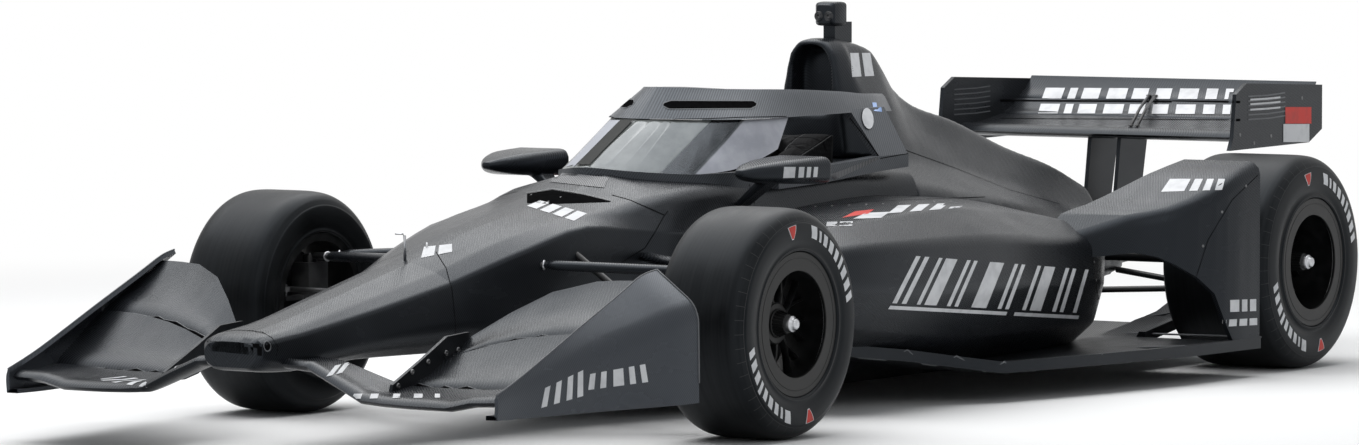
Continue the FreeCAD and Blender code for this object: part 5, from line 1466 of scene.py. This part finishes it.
def build_pads():
    """The headrest and seat as padded pieces, with seams, stitching and the round pads at the sides."""
    cushion("headrest", "headrest_pad", 0.007, 0.007)
    cushion("seat", "seat_pad", 0.009, 0.0085)
    head, seat = Skin("headrest_pad"), Skin("seat_pad")
    seams, threads, pads = Sheet(), Sheet(), Sheet()
    low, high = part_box("headrest")
    for y in HEADREST_SEAMS:
        seam(seams, head, (low.x, y), (high.x, y), SEAM)
        seam(threads, head, (low.x, y + 0.006), (high.x, y + 0.006), THREAD)
    for share in HEADREST_SHARES:
        x = low.x + (high.x - low.x) * share
        for side in (-1, 1):
            seam(seams, head, (x, 0.12 * side), (x, 0.235 * side), SEAM)
    for index in range(SEAT_SEAMS):
        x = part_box("seat")[0].x + SEAT_START + index * SEAT_PITCH
        seam(seams, seat, (x, -0.18), (x, 0.18), SEAT_SEAM)
        seam(threads, seat, (x + 0.007, -0.18), (x + 0.007, 0.18), THREAD)
    for side in (-1, 1):
        spot, normal = head.meet(at(-1.2, 0, 0.72), LEFT * side)
        pads.add(*button(spot, normal, 0.036, 0.006, 28))
    seams.made("pad_seams", "seam_black")
    threads.made("pad_stitching", "thread_grey")
    pads.made("round_pads", "pad_cloth")


def slider(place, width):
    """A belt's flat metal slider: a frame across the strap."""
    spot, normal = place
    along = LEFT.cross(normal).normalized()
    half = width / 2 + 0.006
    corners = ((-half, -0.013), (half, -0.013), (half, 0.013), (-half, 0.013), (-half, -0.013))
    return tube([spot + LEFT * a + along * b + normal * 0.006 for a, b in corners], 0.0022, 8, False)


BELT_THICK = 0.0028


def build_belts():
    """Five belts over the seat, their sliders and the round buckle."""
    seat = Skin("seat_pad")
    low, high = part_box("seat")
    buckle_x = low.x + 0.36
    belts = [(((high.x - 0.02, 0.0), (buckle_x + 0.1, 0.0), (buckle_x + 0.02, 0.0)), 0.04)]
    for side in (-1, 1):
        shoulder = (
            (low.x + 0.012, 0.085 * side), (low.x + 0.2, 0.07 * side), (buckle_x - 0.02, 0.022 * side),
        )
        lap = ((buckle_x - 0.05, 0.165 * side), (buckle_x - 0.02, 0.1 * side), (buckle_x, 0.03 * side))
        belts += [(shoulder, 0.05), (lap, 0.045)]
    cloth, metal = Sheet(), Sheet()
    for places, width in belts:
        run = []
        for place, after in zip(places[:-1], places[1:]):
            for step in range(8):
                spot, normal = from_above(seat, *[a + (b - a) * step / 8 for a, b in zip(place, after)])
                if spot is not None:
                    run.append((spot + UP * 0.002, normal))
        if len(run) > 2:
            cloth.add(*strap(run, width, BELT_THICK))
            metal.add(*slider(run[len(run) // 2], width))
    spot, normal = from_above(seat, buckle_x, 0)
    for rise, radius, height, sides in ((0.012, 0.036, 0.012, 28), (0.022, 0.02, 0.006, 24)):
        metal.add(*button(spot + normal * rise, normal, radius, height, sides))
    cloth.made("seat_belts", "belt_cloth")
    metal.made("belt_buckles", "dull_alloy")


# The steering wheel and the dashboard

WHEEL_CENTRE = at(-0.672, 0, 0.6)
WHEEL_LEAN = math.radians(14)
WHEEL_BACK = Vector((-math.cos(WHEEL_LEAN), 0, math.sin(WHEEL_LEAN)))
WHEEL_RISE = Vector((math.sin(WHEEL_LEAN), 0, math.cos(WHEEL_LEAN)))
# The plate's half width and half height, its corners' roundness, and its section: share and height
PLATE_HALF = (0.112, 0.066)
PLATE_POWERS = (0.55, 0.6)
PLATE_SECTION = (
    (0.9, -0.009), (0.985, -0.006), (1.0, 0.0), (0.985, 0.008), (0.93, 0.0115), (0.6, 0.0125), (0.2, 0.013),
)
# Places across, up and out of the plate, for the car's left
PADDLE = ((0.045, 0.02, -0.016), (0.1, 0.03, -0.018), (0.128, 0.02, -0.016))
GRIP = (
    (0.088, 0.07, 0.004), (0.114, 0.062, 0.005), (0.121, 0.03, 0.006), (0.117, -0.01, 0.006),
    (0.118, -0.048, 0.005), (0.096, -0.064, 0.004),
)
DISPLAY = ((-0.048, 0.008), (0.048, 0.008), (0.048, 0.05), (-0.048, 0.05))
KEY_OUT = 0.013


def on_plate(y, z, out=0.0):
    """A place on the steering wheel: across, up, and towards the driver."""
    return WHEEL_CENTRE + LEFT * y + WHEEL_RISE * z + WHEEL_BACK * out


def rounded_share(value, power):
    """A sine or cosine bent towards a box with round corners."""
    return math.copysign(abs(value) ** power, value)


def build_steering_wheel():
    """The plate with its paddles, grips, display and coloured keys."""
    plate, grips, screen = Sheet(), Sheet(), Sheet()
    count = 48
    outline = [
        [half * rounded_share(value, power) for value, half, power in zip(pair, PLATE_HALF, PLATE_POWERS)]
        for pair in circle(count)
    ]
    points = [on_plate(y * share, z * share, out) for share, out in PLATE_SECTION for y, z in outline]
    faces = grid_faces(len(PLATE_SECTION), count, False, True)
    faces += [tuple(range(len(points) - count, len(points))), tuple(reversed(range(count)))]
    plate.add(points, faces)
    for side in (-1, 1):
        paddle = [on_plate(y * side, z, out) for y, z, out in PADDLE]
        plate.add(*tube(paddle, (0.006, 0.012, 0.008), 10, True, 0.35))
        route = smooth_through([on_plate(y * side, z, out) for y, z, out in GRIP], 6)
        grips.add(*tube(route, [0.0125 + 0.0015 * math.sin(index * 1.2) for index in range(len(route))], 14))
    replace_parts(plate.made("steering_plate", "gloss_black", "steering_wheel"), "steering_wheel")
    grips.made("wheel_grips", "pad_cloth", "steering_wheel")
    screen.add([on_plate(y, z, 0.0142) for y, z in DISPLAY], [(0, 1, 2, 3)])
    screen.made("wheel_display", "dark_glass", "steering_wheel", False)
    keys = {"white": Sheet(), "red": Sheet(), "light": Sheet()}
    for index in range(4):
        for side in (-1, 1):
            colour = list(keys)[(index + (side > 0)) % 3]
            spot = on_plate(side * (0.066 + 0.012 * (index % 2)), 0.045 - 0.026 * index, KEY_OUT)
            keys[colour].add(*button(spot, WHEEL_BACK, 0.0062, 0.005, 16))
    for y in (-0.03, 0.0, 0.03):
        keys["white"].add(*button(on_plate(y, -0.028, KEY_OUT), WHEEL_BACK, 0.0095, 0.008, 20))
    for colour, sheet in keys.items():
        sheet.made("wheel_keys_" + colour, colour + "_marks", "steering_wheel")


# The hump over the dashboard: distance back and height of its ridge, from its foot in front
HUMP = ((0.02, -0.005, 0), (0.06, 0.035, 0), (0.12, 0.052, 0), (0.18, 0.03, 0), (0.19, 0.012, 0))
HUMP_HALF = 0.125


def build_dash_hump():
    """The ribbed hump over the dashboard."""
    profile = smooth_through(HUMP, 6)
    foot = at(-0.45, 0, 0.665)
    steps = 24
    points = []
    for back, rise, _ in profile:
        for share in [-1 + 2 * step / steps for step in range(steps + 1)]:
            drop = 1 - share ** 4
            points.append(foot + Vector((-back, share * HUMP_HALF, rise * drop - (1 - drop) * 0.004)))
    hump = Sheet()
    hump.add(points, grid_faces(len(profile), steps + 1))
    modify(hump.made("dash_hump", "ribbed_grey"), "SOLIDIFY", thickness=0.004, offset=0.0)


# Small parts


FILM_LIFT = 0.0012


def film_behind(sheet, skin, x, rows, columns, deepest):
    """Adds a thin film over what a look from behind the car meets, at heights and places across."""
    points = []
    for z in rows:
        for y in columns:
            spot, normal = skin.meet(Vector((x - CLEAR, y, z)), AHEAD)
            points.append(None if spot is None or spot.x > x + deepest else spot + normal * FILM_LIFT)
    faces = grid_faces(len(rows), len(columns))
    add_used(sheet, points, [face for face in faces if None not in [points[index] for index in face]])


# The mirrors' glass: its deepest place, its rows above the middle, and its columns from the outer edge
GLASS_DEEPEST = 0.07
GLASS_ROWS = [0.012 + 0.0055 * (row - 4) for row in range(9)]
GLASS_COLUMNS = [0.012 + 0.011 * column for column in range(15)]


def build_mirror_glass():
    """The mirrors' glass, on the back of their shells."""
    glass = Sheet()
    low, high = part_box("mirrors")
    rows = [(low.z + high.z) / 2 + rise for rise in GLASS_ROWS]
    for side in (-1, 1):
        columns = [side * (high.y - inset) for inset in GLASS_COLUMNS]
        film_behind(glass, skin_of("mirrors"), low.x, rows, columns, GLASS_DEEPEST)
    glass.made("mirror_glass", "mirror_glass")


def build_camera_lens():
    """Two round glasses in the front of the camera pod."""
    lens = Sheet()
    low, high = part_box("camera_pod")
    pod = Skin("camera_pod")
    for y in (-0.018, 0.018):
        spot, normal = pod.meet(Vector((high.x + CLEAR, y, (low.z + high.z) / 2 + 0.02)), -AHEAD)
        if spot is not None:
            lens.add(*ring_at(spot, normal, 0.013, 0.003))
            lens.add(*button(spot, normal, 0.012, 0.003, 20))
    lens.made("camera_lens", "dark_glass")


def build_rain_light():
    """A red lamp on the crash box."""
    light = Sheet()
    low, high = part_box("rear_crash_box")
    rows = [(low.z + high.z) / 2 + 0.02 * (row - 3) for row in range(7)]
    columns = [0.018 * (column - 2) for column in range(5)]
    film_behind(light, Skin("rear_crash_box"), low.x, rows, columns, CLEAR)
    light.made("rain_light", "red_lens")


# The left exhaust's stub, beside the crash box; radii of its outside and its inside
EXHAUST = ((-3.29, 0.106, 0.425), (-3.33, 0.107, 0.425), (-3.38, 0.109, 0.43))
EXHAUST_OUTSIDE, EXHAUST_INSIDE = 0.026, 0.0235


def build_exhausts():
    """The two exhaust stubs beside the crash box."""
    pipes = Sheet()
    route = smooth_through([at(*spot) for spot in EXHAUST], 6)
    pipes.add(*tube(route, EXHAUST_OUTSIDE, 28, False))
    pipes.add(*tube(route[::-1], EXHAUST_INSIDE, 28, False))
    pipes.made("exhaust_pipes", "burnt_steel", twin=True)


def build_floor_edges():
    """A pale rubbed edge along each side of the floor."""
    edge = Sheet()
    route = outermost("floor", lambda spot: round(spot.x / 0.06), lambda spot: (spot.y, spot.z))
    thin_lines(edge, [spot for spot in route if spot.y > 0.3], 0.003)
    edge.made("floor_edges", "edge_grey")


# Both ends of the front legs that carry a streamlined cover: ahead of the front axle, y and z
FRONT_LEGS = (
    ((0.0, 0.723, 0.464), (0.210, 0.215, 0.482)),
    ((0.0, 0.723, 0.464), (-0.250, 0.262, 0.486)),
    ((0.0, 0.723, 0.192), (0.290, 0.190, 0.262)),
    ((0.0, 0.723, 0.192), (-0.270, 0.258, 0.252)),
)
# The cover's share of the leg: where it starts and how long it is; its radius, at its ends too; its flatness
COVER_START, COVER_SHARE, COVER_STEPS = 0.15, 0.8, 12
COVER_RADIUS, COVER_END, COVER_FLAT = 0.0225, 0.013, 0.66


def build_legs():
    """Streamlined covers round the front legs, with a bright collar at each end."""
    covers, collars = Sheet(), Sheet()
    for outer, inner in FRONT_LEGS:
        start, end = at(*outer), at(*inner)
        shares = [COVER_START + COVER_SHARE * index / COVER_STEPS for index in range(COVER_STEPS + 1)]
        run = [start.lerp(end, share) for share in shares]
        radii = [COVER_END] + [COVER_RADIUS] * (COVER_STEPS - 1) + [COVER_END]
        covers.add(*tube(run, radii, 16, True, COVER_FLAT))
        for spot, after in ((run[0], run[1]), (run[-1], run[-2])):
            collars.add(*ring_at(spot, (after - spot).normalized(), 0.0115, 0.0035))
    covers.made("leg_covers", "carbon_skin", twin=True)
    collars.made("leg_collars", "bright_steel", twin=True)


# Scene

FLOOR_HALF = 400.0
# The floor fades to white between these distances from the car's middle
FADE = (3.0, 7.5)
# The surround's colour and strength as a lamp, and the lamps: place, size, watts and target
FILL_COLOUR, FILL_STRENGTH = (0.93, 0.97, 1.0, 1), 0.3
LAMPS = {
    "sky_panel": ((-0.5, -1.4, 6.0), (10.0, 8.0), 700.0, (0, 0, 0)),
    "left_panel": ((4.5, 6.5, 4.5), (5.0, 3.0), 40.0, (0, 0, 0.4)),
}


def facing(way):
    """The rotation of a camera or lamp that looks along a way."""
    return way.to_track_quat("-Z", "Y").to_euler()


def build_camera():
    """The camera at the photograph's place."""
    camera = linked("camera", bpy.data.cameras.new("camera"))
    camera.location = EYE
    camera.rotation_euler = facing(LOOK)
    camera.data.sensor_width = SENSOR_MM
    camera.data.lens = LENS_MM
    camera.data.clip_end = FARTHEST
    bpy.context.scene.camera = camera


def seen_rays(tree):
    """1 for the rays of the camera, of mirrors and of glass."""
    path = tree.nodes.new("ShaderNodeLightPath")
    seen = path.outputs["Is Camera Ray"]
    for name in ("Is Glossy Ray", "Is Transmission Ray"):
        larger = tree.nodes.new("ShaderNodeMath")
        larger.operation = "MAXIMUM"
        tree.links.new(seen, larger.inputs[0])
        tree.links.new(path.outputs[name], larger.inputs[1])
        seen = larger.outputs[0]
    return seen


def mix_into(output, tree, share, first, second):
    """Feeds an output with a mix of two shaders."""
    mixer = tree.nodes.new("ShaderNodeMixShader")
    for source, target in zip((share, first, second), mixer.inputs):
        tree.links.new(source, target)
    tree.links.new(mixer.outputs[0], output.inputs[0])


def build_floor():
    """A pale floor that keeps the car's shadow and fades to white away from it."""
    mesh = bpy.data.meshes.new("studio_floor")
    corners = [(FLOOR_HALF * x, FLOOR_HALF * y, 0) for x, y in ((-1, -1), (1, -1), (1, 1), (-1, 1))]
    mesh.from_pydata(corners, [], [(0, 1, 2, 3)])
    floor = linked("studio_floor", mesh)
    made = Finish("studio_floor", None, Roughness=0.9, Specular=0.1, Base=(0.86, 0.86, 0.86))
    glow = made.node("ShaderNodeEmission", {}, {"Color": (1, 1, 1), "Strength": 1.0})
    share = made.reach().between(*FADE) * Amount(made, seen_rays(made.tree))
    mix_into(made.output, made.tree, share.socket, made.shader.outputs[0], glow.socket)
    mesh.materials.append(made.material)


def build_light():
    """Soft light from above, and a white surround for the camera."""
    world = bpy.data.worlds.new("studio")
    bpy.context.scene.world = world
    world.use_nodes = True
    tree = world.node_tree
    tree.nodes.clear()
    output = tree.nodes.new("ShaderNodeOutputWorld")
    fill = tree.nodes.new("ShaderNodeBackground")
    fill.inputs[0].default_value = FILL_COLOUR
    fill.inputs[1].default_value = FILL_STRENGTH
    white = tree.nodes.new("ShaderNodeBackground")
    mix_into(output, tree, seen_rays(tree), fill.outputs[0], white.outputs[0])
    for name, (spot, size, watts, target) in LAMPS.items():
        data = bpy.data.lights.new(name, "AREA")
        data.shape = "RECTANGLE"
        data.size, data.size_y = size
        data.energy = watts
        lamp = linked(name, data)
        lamp.location = spot
        lamp.rotation_euler = facing(Vector(target) - Vector(spot))


dress_nodes()
build_shells()
build_endplates()
build_wheels()
lay(NOSE_PIECES)
build_air_speed_tube()
lay(SCREEN_PIECES)
lay(BODY_PIECES)
build_pads()
build_belts()
build_steering_wheel()
build_dash_hump()
lay(WING_PIECES)
build_bracket()
build_mirror_glass()
build_camera_lens()
build_rain_light()
build_exhausts()
build_floor_edges()
build_legs()
build_camera()
build_floor()
build_light()
bpy.context.scene.view_settings.view_transform = "Standard"
